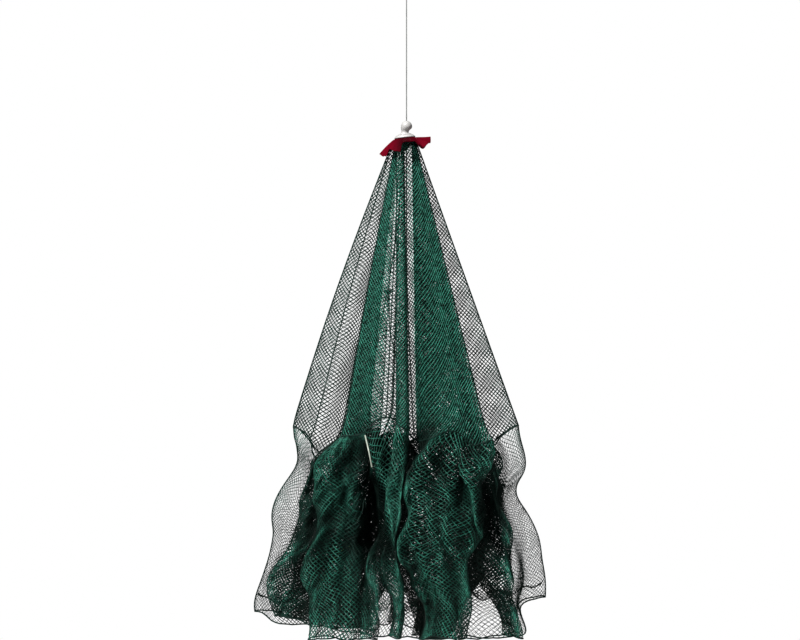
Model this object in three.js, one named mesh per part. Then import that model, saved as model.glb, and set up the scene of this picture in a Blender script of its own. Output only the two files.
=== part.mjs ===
// A folding fish trap hanging folded from its line: a pleated canopy net gathered under a white cap
// and a red collar, a ruffled side wall, a bottom net and the entrance funnels inside.
// Millimetres, +Z up. +X is to the right and +Y away from the viewer. The origin is the point
// where a hook bears in the hanging loop.

import * as THREE from "three";
import { mergeVertices } from "three/addons/utils/BufferGeometryUtils.js";

// ---------------------------------------------------------------- driving dimensions, mm

const gap = 0.3; // running gap between pieces that touch
const netThickness = 1.2; // of a knotted net lying in its folds
const collarThickness = 1.5;

const lineDiameter = 2;
const loopHeight = 24;
const loopWidth = 13;
const knotHeight = 9;
const knotDiameter = 7;
const ballTopZ = -235; // upper end of the cap

const crownTilt = THREE.MathUtils.degToRad(5.5); // washer and collar sit with the right side up
const crownShift = 3; // they sit this far to the left of the line
const ballRadius = 9;
const capNeckRadius = 6;
const capHeight = 22.5; // ball top to the underside of the foot
const washerTopRadius = 13.5;
const washerHeight = 4.6;

const collarHoleRadius = 7;
const collarFlatRadius = 17; // clamped under the washer
const collarDroop = 1.15; // the skirt falls more steeply towards its rim

const neckBelowCollar = 0.6; // the net is gathered up against the collar
const neckDepthRatio = 0.3; // folds are pressed together to this part of their depth at the neck
const tuckRatio = 0.6; // the gathered end under the collar, as a part of the neck's width
const tuckHeight = 14; // from the gathered end down to the neck
const drawCordDiameter = 2;
const rodDiameter = 2.6;
const funnelCordDiameter = 3;

const washerUnderside = ballTopZ - capHeight - gap - washerHeight;
const tuckZ = washerUnderside - gap - collarThickness - neckBelowCollar;
const neckZ = tuckZ - tuckHeight;

// ---------------------------------------------------------------- folds of the canopy and wall

// One row for each place where the net turns or passes, in order round the trap: along the front
// from the left corner to the right corner and back along the rear. x is to the right, depth is
// away from the viewer, and span is how far the turn reaches in depth from its first leg to its
// second, or 0 where the net only passes. The seam joins canopy and wall, the waist is half way
// down the wall and the hem is its lower edge.
const folds = [
  { name: "corner_left", neckX: -26, seamX: -180, depth: 0, span: -14, seamZ: -724,
    waistX: -203, waistDepth: 0, waistSpan: -28, hemX: -228, hemDepth: 4, hemSpan: -36, hemZ: -1021 },
  { name: "crease_left", neckX: -25, seamX: -150, depth: -12, span: 0, seamZ: -742,
    waistX: -184, waistDepth: -26, waistSpan: 0, hemX: -204, hemDepth: -38, hemSpan: 0, hemZ: -1034 },
  { name: "dip_left", neckX: -21.5, seamX: -122, depth: -10, span: 0, seamZ: -779,
    waistX: -138, waistDepth: -25, waistSpan: 0, hemX: -164, hemDepth: -34, hemSpan: 0, hemZ: -1036 },
  { name: "left_1", neckX: -13, seamX: -66, depth: -17, span: -12, seamZ: -741,
    waistX: -76, waistDepth: -35, waistSpan: -16, hemX: -92, hemDepth: -46, hemSpan: -22, hemZ: -1046 },
  { name: "left_2", neckX: -18, seamX: -104, depth: -29, span: -12, seamZ: -742,
    waistX: -160, waistDepth: -53, waistSpan: -18, hemX: -178, hemDepth: -72, hemSpan: -26, hemZ: -1036 },
  { name: "left_3", neckX: -13.5, seamX: -69, depth: -41, span: -12, seamZ: -738,
    waistX: -62, waistDepth: -73, waistSpan: -18, hemX: -58, hemDepth: -98, hemSpan: -22, hemZ: -1061 },
  { name: "left_4", neckX: -17.5, seamX: -99, depth: -53, span: -12, seamZ: -736,
    waistX: -112, waistDepth: -94, waistSpan: -20, hemX: -142, hemDepth: -122, hemSpan: -24, hemZ: -1061 },
  { name: "hollow_left", neckX: -15, seamX: -76, depth: -58, span: 0, seamZ: -738,
    waistX: -52, waistDepth: -84, waistSpan: 0, hemX: -96, hemDepth: -142, hemSpan: 0, hemZ: -1058 },
  { name: "flap_left", neckX: -13.5, seamX: -62, depth: -60, span: 0, seamZ: -736,
    waistX: -40, waistDepth: -134, waistSpan: 0, hemX: -64, hemDepth: -150, hemSpan: 0, hemZ: -1058 },
  { name: "crown_left", neckX: -11, seamX: -32, depth: -58, span: 0, seamZ: -712,
    waistX: -29, waistDepth: -126, waistSpan: 0, hemX: -46, hemDepth: -140, hemSpan: 0, hemZ: -1054 },
  { name: "centre_1", neckX: -8, seamX: -6, depth: -62, span: -10, seamZ: -730,
    waistX: -16, waistDepth: -130, waistSpan: -10, hemX: -28, hemDepth: -148, hemSpan: -14, hemZ: -1052 },
  { name: "centre_2", neckX: -12, seamX: -15, depth: -75, span: -10, seamZ: -728,
    waistX: -31, waistDepth: -145, waistSpan: -10, hemX: -48, hemDepth: -165, hemSpan: -14, hemZ: -1060 },
  { name: "centre_3", neckX: -3.5, seamX: 2, depth: -70, span: 24, seamZ: -730,
    waistX: -9, waistDepth: -140, waistSpan: 24, hemX: -15, hemDepth: -156, hemSpan: 40, hemZ: -1061 },
  { name: "hollow_centre", neckX: -0.5, seamX: 8, depth: -56, span: 0, seamZ: -742,
    waistX: -3, waistDepth: -84, waistSpan: 0, hemX: -2, hemDepth: -118, hemSpan: 0, hemZ: -1056 },
  { name: "hollow_right", neckX: 2, seamX: 16, depth: -57, span: 0, seamZ: -744,
    waistX: 8, waistDepth: -82, waistSpan: 0, hemX: 12, hemDepth: -120, hemSpan: 0, hemZ: -1056 },
  { name: "flap_right", neckX: 5, seamX: 42, depth: -61, span: 0, seamZ: -742,
    waistX: 12, waistDepth: -134, waistSpan: 0, hemX: 24, hemDepth: -150, hemSpan: 0, hemZ: -1056 },
  { name: "belly_right", neckX: 9, seamX: 86, depth: -60, span: 0, seamZ: -738,
    waistX: 56, waistDepth: -148, waistSpan: 0, hemX: 72, hemDepth: -164, hemSpan: 0, hemZ: -1061 },
  { name: "right_1", neckX: 12, seamX: 126, depth: -52, span: 12, seamZ: -742,
    waistX: 104, waistDepth: -110, waistSpan: 18, hemX: 128, hemDepth: -132, hemSpan: 22, hemZ: -1061 },
  { name: "right_2", neckX: 6, seamX: 24, depth: -41, span: 12, seamZ: -736,
    waistX: 34, waistDepth: -86, waistSpan: 18, hemX: 52, hemDepth: -106, hemSpan: 22, hemZ: -1060 },
  { name: "right_3", neckX: 11.5, seamX: 122, depth: -30, span: 12, seamZ: -746,
    waistX: 158, waistDepth: -66, waistSpan: 18, hemX: 178, hemDepth: -82, hemSpan: 24, hemZ: -1060 },
  { name: "right_4", neckX: 5.5, seamX: 22, depth: -18, span: 12, seamZ: -740,
    waistX: 56, waistDepth: -42, waistSpan: 16, hemX: 96, hemDepth: -56, hemSpan: 22, hemZ: -1048 },
  { name: "dip_right", neckX: 13.5, seamX: 129, depth: -10, span: 0, seamZ: -754,
    waistX: 150, waistDepth: -26, waistSpan: 0, hemX: 178, hemDepth: -36, hemSpan: 0, hemZ: -1012 },
  { name: "corner_right", neckX: 18, seamX: 176, depth: 0, span: 14, seamZ: -722,
    waistX: 191, waistDepth: 0, waistSpan: 28, hemX: 220, hemDepth: 2, hemSpan: 36, hemZ: -996 },
  { name: "rear_dip_right", neckX: 13.5, seamX: 132, depth: 10, span: 0, seamZ: -750,
    waistX: 152, waistDepth: 27, waistSpan: 0, hemX: 184, hemDepth: 38, hemSpan: 0, hemZ: -1030 },
  { name: "rear_1", neckX: 5.5, seamX: 26, depth: 18, span: 12, seamZ: -738,
    waistX: 60, waistDepth: 43, waistSpan: 16, hemX: 84, hemDepth: 58, hemSpan: 22, hemZ: -1052 },
  { name: "rear_2", neckX: 11.5, seamX: 118, depth: 30, span: 12, seamZ: -744,
    waistX: 146, waistDepth: 67, waistSpan: 18, hemX: 166, hemDepth: 86, hemSpan: 24, hemZ: -1058 },
  { name: "rear_centre", neckX: 1, seamX: 3, depth: 42, span: 10, seamZ: -736,
    waistX: 8, waistDepth: 90, waistSpan: 14, hemX: 20, hemDepth: 112, hemSpan: 20, hemZ: -1060 },
  { name: "rear_3", neckX: 4.5, seamX: 17, depth: 54, span: 10, seamZ: -738,
    waistX: 40, waistDepth: 110, waistSpan: 16, hemX: 66, hemDepth: 138, hemSpan: 20, hemZ: -1060 },
  { name: "rear_4", neckX: -5, seamX: -16, depth: 58, span: -18, seamZ: -738,
    waistX: -22, waistDepth: 116, waistSpan: -26, hemX: -30, hemDepth: 140, hemSpan: -34, hemZ: -1056 },
  { name: "rear_5", neckX: -17.5, seamX: -101, depth: 34, span: -12, seamZ: -746,
    waistX: -146, waistDepth: 71, waistSpan: -18, hemX: -154, hemDepth: 90, hemSpan: -24, hemZ: -1052 },
  { name: "rear_6", neckX: -13, seamX: -68, depth: 21, span: -12, seamZ: -742,
    waistX: -80, waistDepth: 47, waistSpan: -16, hemX: -94, hemDepth: 60, hemSpan: -22, hemZ: -1050 },
  { name: "rear_dip_left", neckX: -21.5, seamX: -124, depth: 11, span: 0, seamZ: -770,
    waistX: -154, waistDepth: 29, waistSpan: 0, hemX: -182, hemDepth: 42, hemSpan: 0, hemZ: -1036 },
];

// Places where the wall is pushed in or out sideways, with a soft reach.
const dents = [
  { name: "left_waist", x: -188, z: -774, reach: 34, shift: 17 },
  { name: "left_hem", x: -226, z: -948, reach: 34, shift: -5 },
  { name: "right_bump", x: 186, z: -778, reach: 26, shift: 4 },
  { name: "right_notch", x: 190, z: -826, reach: 30, shift: -17 },
];

// Slow waves that leave the wall uneven: every layer sways with its neighbours.
const swayX = { height: 8, perZ: 1 / 25, perY: 1 / 42, start: 1.1 };
const swayY = { height: 6, perX: 1 / 30, perZ: 1 / 66, start: 0.4 };
const swayTopZ = -750; // the waves begin here and are full at swayFullZ
const swayFullZ = -850;

const seamGap = 1.8; // between the canopy's lower edge and the wall's upper edge
const sewnGap = 1.5; // between the two widths of the wall, sewn together at the corners
const canopyRows = 5;
const wallRows = 11;
const legLength = 44; // longest straight leg between two points of the wall at the hem
const turnOut = 0.21; // a turn's middle stands out by this part of its span
const turnBack = 0.09; // and its two ends stand back by this part
const mitreLimit = 0.62; // how far a sheet's faces may lean from their corner's direction, as a cosine

// ---------------------------------------------------------------- colours

const finishes = {
  net: { color: 0x14523e, roughness: 0.6, metalness: 0 },
  cord: { color: 0x1c2a26, roughness: 0.75, metalness: 0 },
  line: { color: 0x6f7472, roughness: 0.6, metalness: 0 },
  whitePlastic: { color: 0xe9e8e4, roughness: 0.4, metalness: 0 },
  redCloth: { color: 0x8e1230, roughness: 0.7, metalness: 0 },
  paleRod: { color: 0xd8dccb, roughness: 0.5, metalness: 0 },
  yellowCord: { color: 0x8f9a4a, roughness: 0.7, metalness: 0 },
};

const trap = new THREE.Group();

function addPiece(name, geometry, finish, parent = trap) {
  const mesh = new THREE.Mesh(geometry, new THREE.MeshStandardMaterial({ ...finish }));
  mesh.name = name;
  parent.add(mesh);
  return mesh;
}

// ---------------------------------------------------------------- shapes shared by the pieces

/** Merges coincident corners, so that a shape is one closed body. */
function closed(geometry) {
  geometry.deleteAttribute("normal");
  geometry.deleteAttribute("uv");
  const merged = mergeVertices(geometry, 1e-4);
  merged.computeVertexNormals();
  return merged;
}

/** A solid sheet: the grid's surface given a thickness. A ring's last column meets its first. */
function sheetSolid(grid, thickness, ring = false) {
  const rows = grid.length;
  const columns = grid[0].length;
  const lastColumn = ring ? columns : columns - 1;
  const faceNormals = [];
  const sums = grid.map((row) => row.map(() => new THREE.Vector3()));
  const down = new THREE.Vector3();
  const across = new THREE.Vector3();
  const touching = (r, c) => [[r, c], [r + 1, c], [r + 1, (c + 1) % columns], [r, (c + 1) % columns]];
  for (let r = 0; r < rows - 1; r++) {
    for (let c = 0; c < lastColumn; c++) {
      const next = (c + 1) % columns;
      down.subVectors(grid[r + 1][next], grid[r][c]);
      across.subVectors(grid[r][next], grid[r + 1][c]);
      const normal = new THREE.Vector3().crossVectors(down, across).normalize();
      faceNormals.push({ normal, corners: touching(r, c) });
      for (const [i, j] of touching(r, c)) sums[i][j].add(normal);
    }
  }
  const lean = grid.map((row) => row.map(() => ({ total: 0, count: 0 })));
  for (const { normal, corners } of faceNormals) {
    for (const [i, j] of corners) {
      lean[i][j].total += normal.dot(sums[i][j].clone().normalize());
      lean[i][j].count += 1;
    }
  }
  const positions = [];
  for (const side of [0.5, -0.5]) {
    for (let r = 0; r < rows; r++) {
      for (let c = 0; c < columns; c++) {
        const mitre = 1 / Math.max(mitreLimit, lean[r][c].total / lean[r][c].count);
        const offset = sums[r][c].clone().setLength(side * thickness * mitre);
        positions.push(...grid[r][c].clone().add(offset).toArray());
      }
    }
  }
  const outer = (r, c) => r * columns + (c % columns);
  const inner = (r, c) => rows * columns + outer(r, c);
  const faces = [];
  const quad = (a, b, c, d) => faces.push(a, b, c, a, c, d);
  for (let r = 0; r < rows - 1; r++) {
    for (let c = 0; c < lastColumn; c++) {
      quad(outer(r, c), outer(r + 1, c), outer(r + 1, c + 1), outer(r, c + 1));
      faces.push(inner(r, c), inner(r, c + 1), inner(r + 1, c + 1));
      faces.push(inner(r, c), inner(r + 1, c + 1), inner(r + 1, c));
    }
  }
  for (let c = 0; c < lastColumn; c++) {
    quad(outer(0, c), outer(0, c + 1), inner(0, c + 1), inner(0, c));
    quad(outer(rows - 1, c + 1), outer(rows - 1, c), inner(rows - 1, c), inner(rows - 1, c + 1));
  }
  if (!ring) {
    for (let r = 0; r < rows - 1; r++) {
      quad(outer(r + 1, 0), outer(r, 0), inner(r, 0), inner(r + 1, 0));
      quad(outer(r, columns - 1), outer(r + 1, columns - 1), inner(r + 1, columns - 1), inner(r, columns - 1));
    }
  }
  const geometry = new THREE.BufferGeometry();
  geometry.setAttribute("position", new THREE.Float32BufferAttribute(positions, 3));
  geometry.setIndex(faces);
  geometry.computeVertexNormals();
  return geometry;
}

/** A cord of round section along a smooth route of [x, y, z] points. */
function cordSolid(route, diameter, steps) {
  const sides = 8;
  const section = new THREE.Shape();
  for (let i = 0; i < sides; i++) {
    const turn = (2 * Math.PI * i) / sides;
    const x = (diameter / 2) * Math.cos(turn);
    const y = (diameter / 2) * Math.sin(turn);
    if (i === 0) section.moveTo(x, y);
    else section.lineTo(x, y);
  }
  const path = new THREE.CatmullRomCurve3(route.map((point) => new THREE.Vector3(...point)));
  return closed(new THREE.ExtrudeGeometry(section, { steps, extrudePath: path, bevelEnabled: false }));
}

/** A turned solid about Z from [radius, height] points, highest first. */
function turnedSolid(profile, segments = 24) {
  const points = [...profile].reverse().map(([radius, height]) => new THREE.Vector2(radius, height));
  const geometry = new THREE.LatheGeometry(points, segments);
  geometry.rotateX(Math.PI / 2);
  return closed(geometry);
}

// ---------------------------------------------------------------- hanging line, knot and loop

const knotTopZ = lineDiameter - loopHeight;
const knotBottomZ = knotTopZ - knotHeight;

// One side of the loop from the knot up: parts of its half width and of its height.
const loopSide = [[0.2, 0.025], [0.55, 0.28], [0.98, 0.62], [0.86, 0.86]];

// The knot from its upper to its lower end: parts of its radius and of its height.
const knotProfile = [
  [0, 0], [0.72, 0], [1, 0.22], [0.86, 0.46], [1, 0.7], [0.6, 1], [0, 1],
];

function hangingLoop() {
  const topZ = lineDiameter / 2; // centre of the line, so that the hook bears at z = 0
  const rise = topZ - knotTopZ;
  const side = (sign) => loopSide.map(([across, up]) =>
    [(sign * across * loopWidth) / 2, 0, knotTopZ + up * rise]);
  const route = [...side(-1), [0, 0, topZ], ...side(1).reverse()];
  addPiece("hang_loop", cordSolid(route, lineDiameter, 26), finishes.line);
}

function hangingKnot() {
  const profile = knotProfile.map(([out, down]) =>
    [(out * knotDiameter) / 2, knotTopZ - down * knotHeight]);
  addPiece("hang_knot", turnedSolid(profile, 14), finishes.line);
}

function hangingLine() {
  const top = knotBottomZ - gap;
  const bottom = ballTopZ + gap;
  const middle = (top + bottom) / 2;
  const route = [[0, 0, top], [0, 0, middle], [0, 0, bottom]];
  addPiece("hang_cord", cordSolid(route, lineDiameter, 38), finishes.line);
}

// ---------------------------------------------------------------- cap, washer and collar

// The cap's foot from its neck down: radius beyond the neck and height above the underside.
const capFoot = [[0, 3.4], [1.4, 2], [4.2, 1.2], [5, 0.5], [5, 0]];

// The washer's edge from its upper face down: radius beyond that face and height above its lower face.
const washerEdge = [[0, 4.6], [0.6, 4.1], [3, 1.6], [3.3, 1], [3.3, 0]];

// The washer and collar are tilted together. Their heights are measured down from the foot.
const crown = new THREE.Group();
crown.position.set(-crownShift, 0, ballTopZ - capHeight);
crown.rotation.y = -crownTilt;
trap.add(crown);

function cap() {
  const profile = [];
  const ballSteps = 7;
  const neckAngle = Math.asin(capNeckRadius / ballRadius);
  for (let i = 0; i <= ballSteps; i++) {
    const turn = ((Math.PI - neckAngle) * i) / ballSteps;
    profile.push([ballRadius * Math.sin(turn), ballRadius * Math.cos(turn) - ballRadius]);
  }
  profile.push(...capFoot.map(([out, up]) => [capNeckRadius + out, up - capHeight]));
  profile.push([0, -capHeight]);
  const geometry = turnedSolid(profile, 24);
  const places = geometry.getAttribute("position");
  for (let i = 0; i < places.count; i++) {
    const x = places.getX(i);
    const lean = THREE.MathUtils.smoothstep(-places.getZ(i), ballRadius, capHeight - capFoot[1][1]);
    places.setX(i, x - crownShift * lean);
    places.setZ(i, places.getZ(i) + x * Math.tan(crownTilt) * lean + ballTopZ);
  }
  addPiece("cap", geometry, finishes.whitePlastic);
}

function washer() {
  const top = -gap;
  const bottom = top - washerHeight;
  const edge = washerEdge.map(([out, up]) => [washerTopRadius + out, bottom + up]);
  const profile = [[0, top], ...edge, [0, bottom]];
  addPiece("washer", turnedSolid(profile, 24), finishes.whitePlastic, crown);
}

// Height of the collar's rim below its clamped part, and the rim's reach, by azimuth in degrees
// from +X towards +Y. The front is at 270.
const collarRim = [
  { azimuth: 0, fall: 1, reach: 41 },
  { azimuth: 24, fall: 6, reach: 43 },
  { azimuth: 48, fall: 16, reach: 41 },
  { azimuth: 74, fall: 7, reach: 44 },
  { azimuth: 100, fall: 18, reach: 41 },
  { azimuth: 126, fall: 9, reach: 43 },
  { azimuth: 152, fall: 20, reach: 41 },
  { azimuth: 178, fall: 21, reach: 43 },
  { azimuth: 200, fall: 25, reach: 39 },
  { azimuth: 222, fall: 18, reach: 40 },
  { azimuth: 244, fall: 21, reach: 35 },
  { azimuth: 266, fall: 4, reach: 42 },
  { azimuth: 288, fall: 3, reach: 43 },
  { azimuth: 312, fall: 17, reach: 37 },
  { azimuth: 336, fall: 11, reach: 41 },
];

/** A smooth value round a closed table, by azimuth. */
function roundTable(table, azimuth, column) {
  const count = table.length;
  let i = table.findLastIndex((row) => row.azimuth <= azimuth);
  const row = (k) => table[(i + k + count) % count];
  const span = (row(1).azimuth - row(0).azimuth + 360) % 360;
  const t = (azimuth - row(0).azimuth) / span;
  const smooth = t * t * (3 - 2 * t);
  return THREE.MathUtils.lerp(row(0)[column], row(1)[column], smooth);
}

function collar() {
  const columns = 48;
  const skirt = [0, 0.31, 0.66, 1]; // parts of the way from the clamped edge to the rim
  const midZ = -gap - washerHeight - gap - collarThickness / 2;
  const grid = Array.from({ length: skirt.length + 1 }, () => []);
  for (let c = 0; c < columns; c++) {
    const azimuth = 360 - (360 * c) / columns;
    const turn = THREE.MathUtils.degToRad(azimuth);
    const reach = roundTable(collarRim, azimuth % 360, "reach");
    const fall = roundTable(collarRim, azimuth % 360, "fall");
    const place = (radius, drop) =>
      new THREE.Vector3(radius * Math.cos(turn), radius * Math.sin(turn), midZ - drop);
    grid[0].push(place(collarHoleRadius, 0));
    for (const [ring, part] of skirt.entries()) {
      const radius = THREE.MathUtils.lerp(collarFlatRadius, reach, part);
      grid[ring + 1].push(place(radius, fall * part ** collarDroop));
    }
  }
  addPiece("collar", sheetSolid(grid, collarThickness, true), finishes.redCloth, crown);
}

// ---------------------------------------------------------------- canopy and wall nets

/** The corner a fold row's turn points to: 1 to the right, -1 to the left, 0 where it passes. */
function pointing(xs, i) {
  const before = xs[(i - 1 + xs.length) % xs.length];
  const after = xs[(i + 1) % xs.length];
  return Math.sign(xs[i] - (before + after) / 2);
}

/** The points of one fold row at a level: one where the net passes, three round a turn. */
function turnPoints(x, depth, span, z, side) {
  if (span === 0) return [new THREE.Vector3(x, depth, z)];
  const swell = side * Math.abs(span);
  return [
    new THREE.Vector3(x - swell * turnBack, depth - span / 2, z),
    new THREE.Vector3(x + swell * turnOut, depth, z),
    new THREE.Vector3(x - swell * turnBack, depth + span / 2, z),
  ];
}

/** One ring of points round the trap, by the folds' x, depth, span and z at a level. */
function ringAt(place) {
  const xs = folds.map((fold) => place(fold)[0]);
  return folds.flatMap((fold, i) => turnPoints(...place(fold), pointing(xs, i)));
}

/** How much higher the tilted crown lies at an x. */
function tiltedBy(x) {
  return (x + crownShift) * Math.tan(crownTilt);
}

const neckRing = ringAt((fold) => [
  fold.neckX, fold.depth * neckDepthRatio, fold.span * neckDepthRatio, neckZ + tiltedBy(fold.neckX),
]);
const seamRing = ringAt((fold) => [fold.seamX, fold.depth, fold.span, fold.seamZ]);
const waistRing = ringAt((fold) => [
  fold.waistX, fold.waistDepth, fold.waistSpan, (fold.seamZ + fold.hemZ) / 2,
]);
const hemRing = ringAt((fold) => [fold.hemX, fold.hemDepth, fold.hemSpan, fold.hemZ]);

/** How many parts each leg between two points of a ring is cut into, the same at every level. */
const legParts = hemRing.map((point, i) =>
  Math.max(1, Math.round(point.distanceTo(hemRing[(i + 1) % hemRing.length]) / legLength)));

/** A ring with its legs cut into their parts. */
function cutLegs(points) {
  return points.flatMap((point, i) => {
    const next = points[(i + 1) % points.length];
    return Array.from({ length: legParts[i] }, (_, k) => point.clone().lerp(next, k / legParts[i]));
  });
}

/** A quadratic curve through three points at t = 0, 0.5 and 1. */
function through(a, b, c, t) {
  const point = new THREE.Vector3();
  point.addScaledVector(a, (1 - t) * (1 - 2 * t));
  point.addScaledVector(b, 4 * t * (1 - t));
  point.addScaledVector(c, t * (2 * t - 1));
  return point;
}

/** Moves a point of the wall, or of what hangs inside it, with the waves and dents. */
function swayed(point) {
  const { x, y, z } = point;
  const full = THREE.MathUtils.smoothstep(-z, -swayTopZ, -swayFullZ);
  const moved = new THREE.Vector3(x, y, z);
  moved.x += full * swayX.height * Math.sin(z * swayX.perZ + y * swayX.perY + swayX.start);
  moved.y += full * swayY.height * Math.sin(x * swayY.perX + z * swayY.perZ + swayY.start);
  for (const dent of dents) {
    const away = ((x - dent.x) ** 2 + (z - dent.z) ** 2) / dent.reach ** 2;
    moved.x += dent.shift * Math.exp(-away);
  }
  return moved;
}

function canopy() {
  const tuck = neckRing.map(({ x, y }) => {
    const gatheredX = (x + crownShift) * tuckRatio - crownShift;
    return new THREE.Vector3(gatheredX, y * tuckRatio, tuckZ + tiltedBy(gatheredX));
  });
  const grid = [cutLegs(tuck)];
  for (let r = 0; r < canopyRows; r++) {
    const t = r / (canopyRows - 1);
    grid.push(cutLegs(neckRing.map((top, i) => top.clone().lerp(seamRing[i], t))).map(swayed));
  }
  addPiece("canopy_net", sheetSolid(grid, netThickness, true), finishes.net);
}

/** The wall at t from 0 at the seam to 1 at the hem, before it sways: a whole ring of points. */
function plainRing(t) {
  const ring = cutLegs(seamRing.map((top, i) => through(top, waistRing[i], hemRing[i], t)));
  for (const point of ring) point.z -= (1 - t) * seamGap;
  return ring;
}

/** The wall's ring as it hangs. */
function wallRing(t) {
  return plainRing(t).map(swayed);
}

/** The column of the wall's ring at the middle of a fold row's turn. */
function turnColumn(name) {
  let column = 0;
  let i = 0;
  for (const fold of folds) {
    const points = fold.span === 0 ? 1 : 3;
    const middle = points === 3 ? legParts[i] : 0;
    if (fold.name === name) return column + middle;
    for (let k = 0; k < points; k++) column += legParts[i + k];
    i += points;
  }
  return column;
}

/** Part of the wall between two columns, its ends drawn back from the sewn corners. */
function wallWidth(name, from, to) {
  const grid = [];
  for (let r = 0; r < wallRows; r++) {
    const ring = wallRing(r / (wallRows - 1));
    const count = ring.length;
    const length = (to - from + count) % count;
    const row = Array.from({ length: length + 1 }, (_, k) => ring[(from + k) % count].clone());
    for (const [end, inward] of [[0, 1], [length, length - 1]]) {
      const draw = row[inward].clone().sub(row[end]).setLength(sewnGap / 2);
      row[end].add(draw);
    }
    grid.push(row);
  }
  addPiece(name, sheetSolid(grid, netThickness), finishes.net);
}

function wall() {
  const left = turnColumn("corner_left");
  const right = turnColumn("corner_right");
  wallWidth("wall_front", left, right);
  wallWidth("wall_rear", right, left);
}

// ---------------------------------------------------------------- nets inside the wall

// A funnel is a tube of net, pleated flat where it hangs between the wall's layers. Centre and
// half widths of its upper and lower end, and the number of pleats.
const funnels = [
  { name: "funnel_left", top: { x: -135, y: 0, z: -846, halfX: 62, halfY: 12 },
    foot: { x: -114, y: -2, z: -990, halfX: 36, halfY: 14 }, pleats: 7 },
  { name: "funnel_right", top: { x: 112, y: 1, z: -822, halfX: 50, halfY: 10 },
    foot: { x: 126, y: 0, z: -962, halfX: 40, halfY: 16 }, pleats: 6 },
  { name: "funnel_centre", top: { x: -16, y: -2, z: -762, halfX: 30, halfY: 30 },
    foot: { x: -10, y: 0, z: -950, halfX: 44, halfY: 50 }, pleats: 9 },
];
const funnelPleatDepth = 0.22; // of its half width
const funnelPleatTwist = 1.4; // radians that the pleats turn from the upper end to the lower
const funnelUneven = 0.04; // how far the lower end is out of round, as a part of its half width
const funnelHemWave = 5; // how far the lower end's edge rises and falls
const funnelRows = 5;

function funnelGrid({ top, foot, pleats }) {
  const columns = pleats * 4;
  const grid = [];
  for (let r = 0; r < funnelRows; r++) {
    const t = r / (funnelRows - 1);
    const at = (key) => THREE.MathUtils.lerp(top[key], foot[key], t);
    const row = [];
    for (let c = 0; c < columns; c++) {
      const turn = (2 * Math.PI * c) / columns;
      const pleat = 1 - funnelPleatDepth * (0.5 + 0.5 * Math.cos(pleats * turn + funnelPleatTwist * t));
      const uneven = 1 + funnelUneven * t * Math.sin(3 * turn + 5 * t);
      const x = at("x") + at("halfX") * pleat * uneven * Math.cos(turn);
      const y = at("y") + at("halfY") * pleat * Math.sin(turn);
      const z = at("z") + funnelHemWave * t * Math.sin(2 * turn + 1);
      row.push(swayed(new THREE.Vector3(x, y, z)));
    }
    grid.push(row);
  }
  return grid;
}

function funnel(row) {
  addPiece(row.name, sheetSolid(funnelGrid(row), netThickness, true), finishes.net);
}

// The bottom net lies across the inside of the wall near its hem, drawn up in pleats from corner to
// corner. Level is its place down the wall, clear its distance from the wall at the corners.
const bottomNet = {
  level: 0.9, clear: 2.8, halfY: 25, endHalfY: 1.5, sag: 24, edgeRise: 6, pleats: 11, pleatHeight: 9,
};

function bottom() {
  const ring = plainRing(bottomNet.level);
  const left = ring[turnColumn("corner_left")];
  const right = ring[turnColumn("corner_right")];
  const columns = 40;
  const rows = 4;
  const grid = [];
  for (let r = 0; r < rows; r++) {
    const v = 1 - (2 * r) / (rows - 1);
    const row = [];
    for (let c = 0; c < columns; c++) {
      const s = c / (columns - 1);
      const arch = Math.sin(Math.PI * s) ** 0.5;
      const x = THREE.MathUtils.lerp(left.x + bottomNet.clear, right.x - bottomNet.clear, s);
      const y = THREE.MathUtils.lerp(left.y, right.y, s);
      const half = THREE.MathUtils.lerp(bottomNet.endHalfY, bottomNet.halfY, arch);
      const pleat = Math.sin(bottomNet.pleats * 2 * Math.PI * s + v) * arch;
      const sag = arch * (bottomNet.sag + bottomNet.edgeRise * (1 - v * v));
      const z = THREE.MathUtils.lerp(left.z, right.z, s) - sag + bottomNet.pleatHeight * pleat;
      row.push(swayed(new THREE.Vector3(x, y + half * v, z)));
    }
    grid.push(row);
  }
  addPiece("bottom_net", sheetSolid(grid, netThickness), finishes.net);
}

// ---------------------------------------------------------------- draw cords, rod and funnel cord

// The main draw cord runs from the washer to a knot, where two more go on to the funnels.
const drawKnot = { x: -29, y: -3, z: -509, halfX: 7.5, halfY: 4, halfZ: 4.6 };

const straightEnd = 14; // a draw cord's last stretch, straight down on a funnel's rim

/** The last two points of a draw cord. */
function tiedTo(name, column) {
  const row = funnels.find((each) => each.name === name);
  const rim = funnelGrid(row)[0][column];
  return [[rim.x, rim.y, rim.z + straightEnd], [rim.x, rim.y, rim.z + 2 * gap]];
}

function drawKnotSolid() {
  const geometry = new THREE.SphereGeometry(1, 14, 8);
  geometry.scale(drawKnot.halfX, drawKnot.halfY, drawKnot.halfZ);
  geometry.translate(drawKnot.x, drawKnot.y, drawKnot.z);
  addPiece("draw_knot", closed(geometry), finishes.cord);
}

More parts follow.
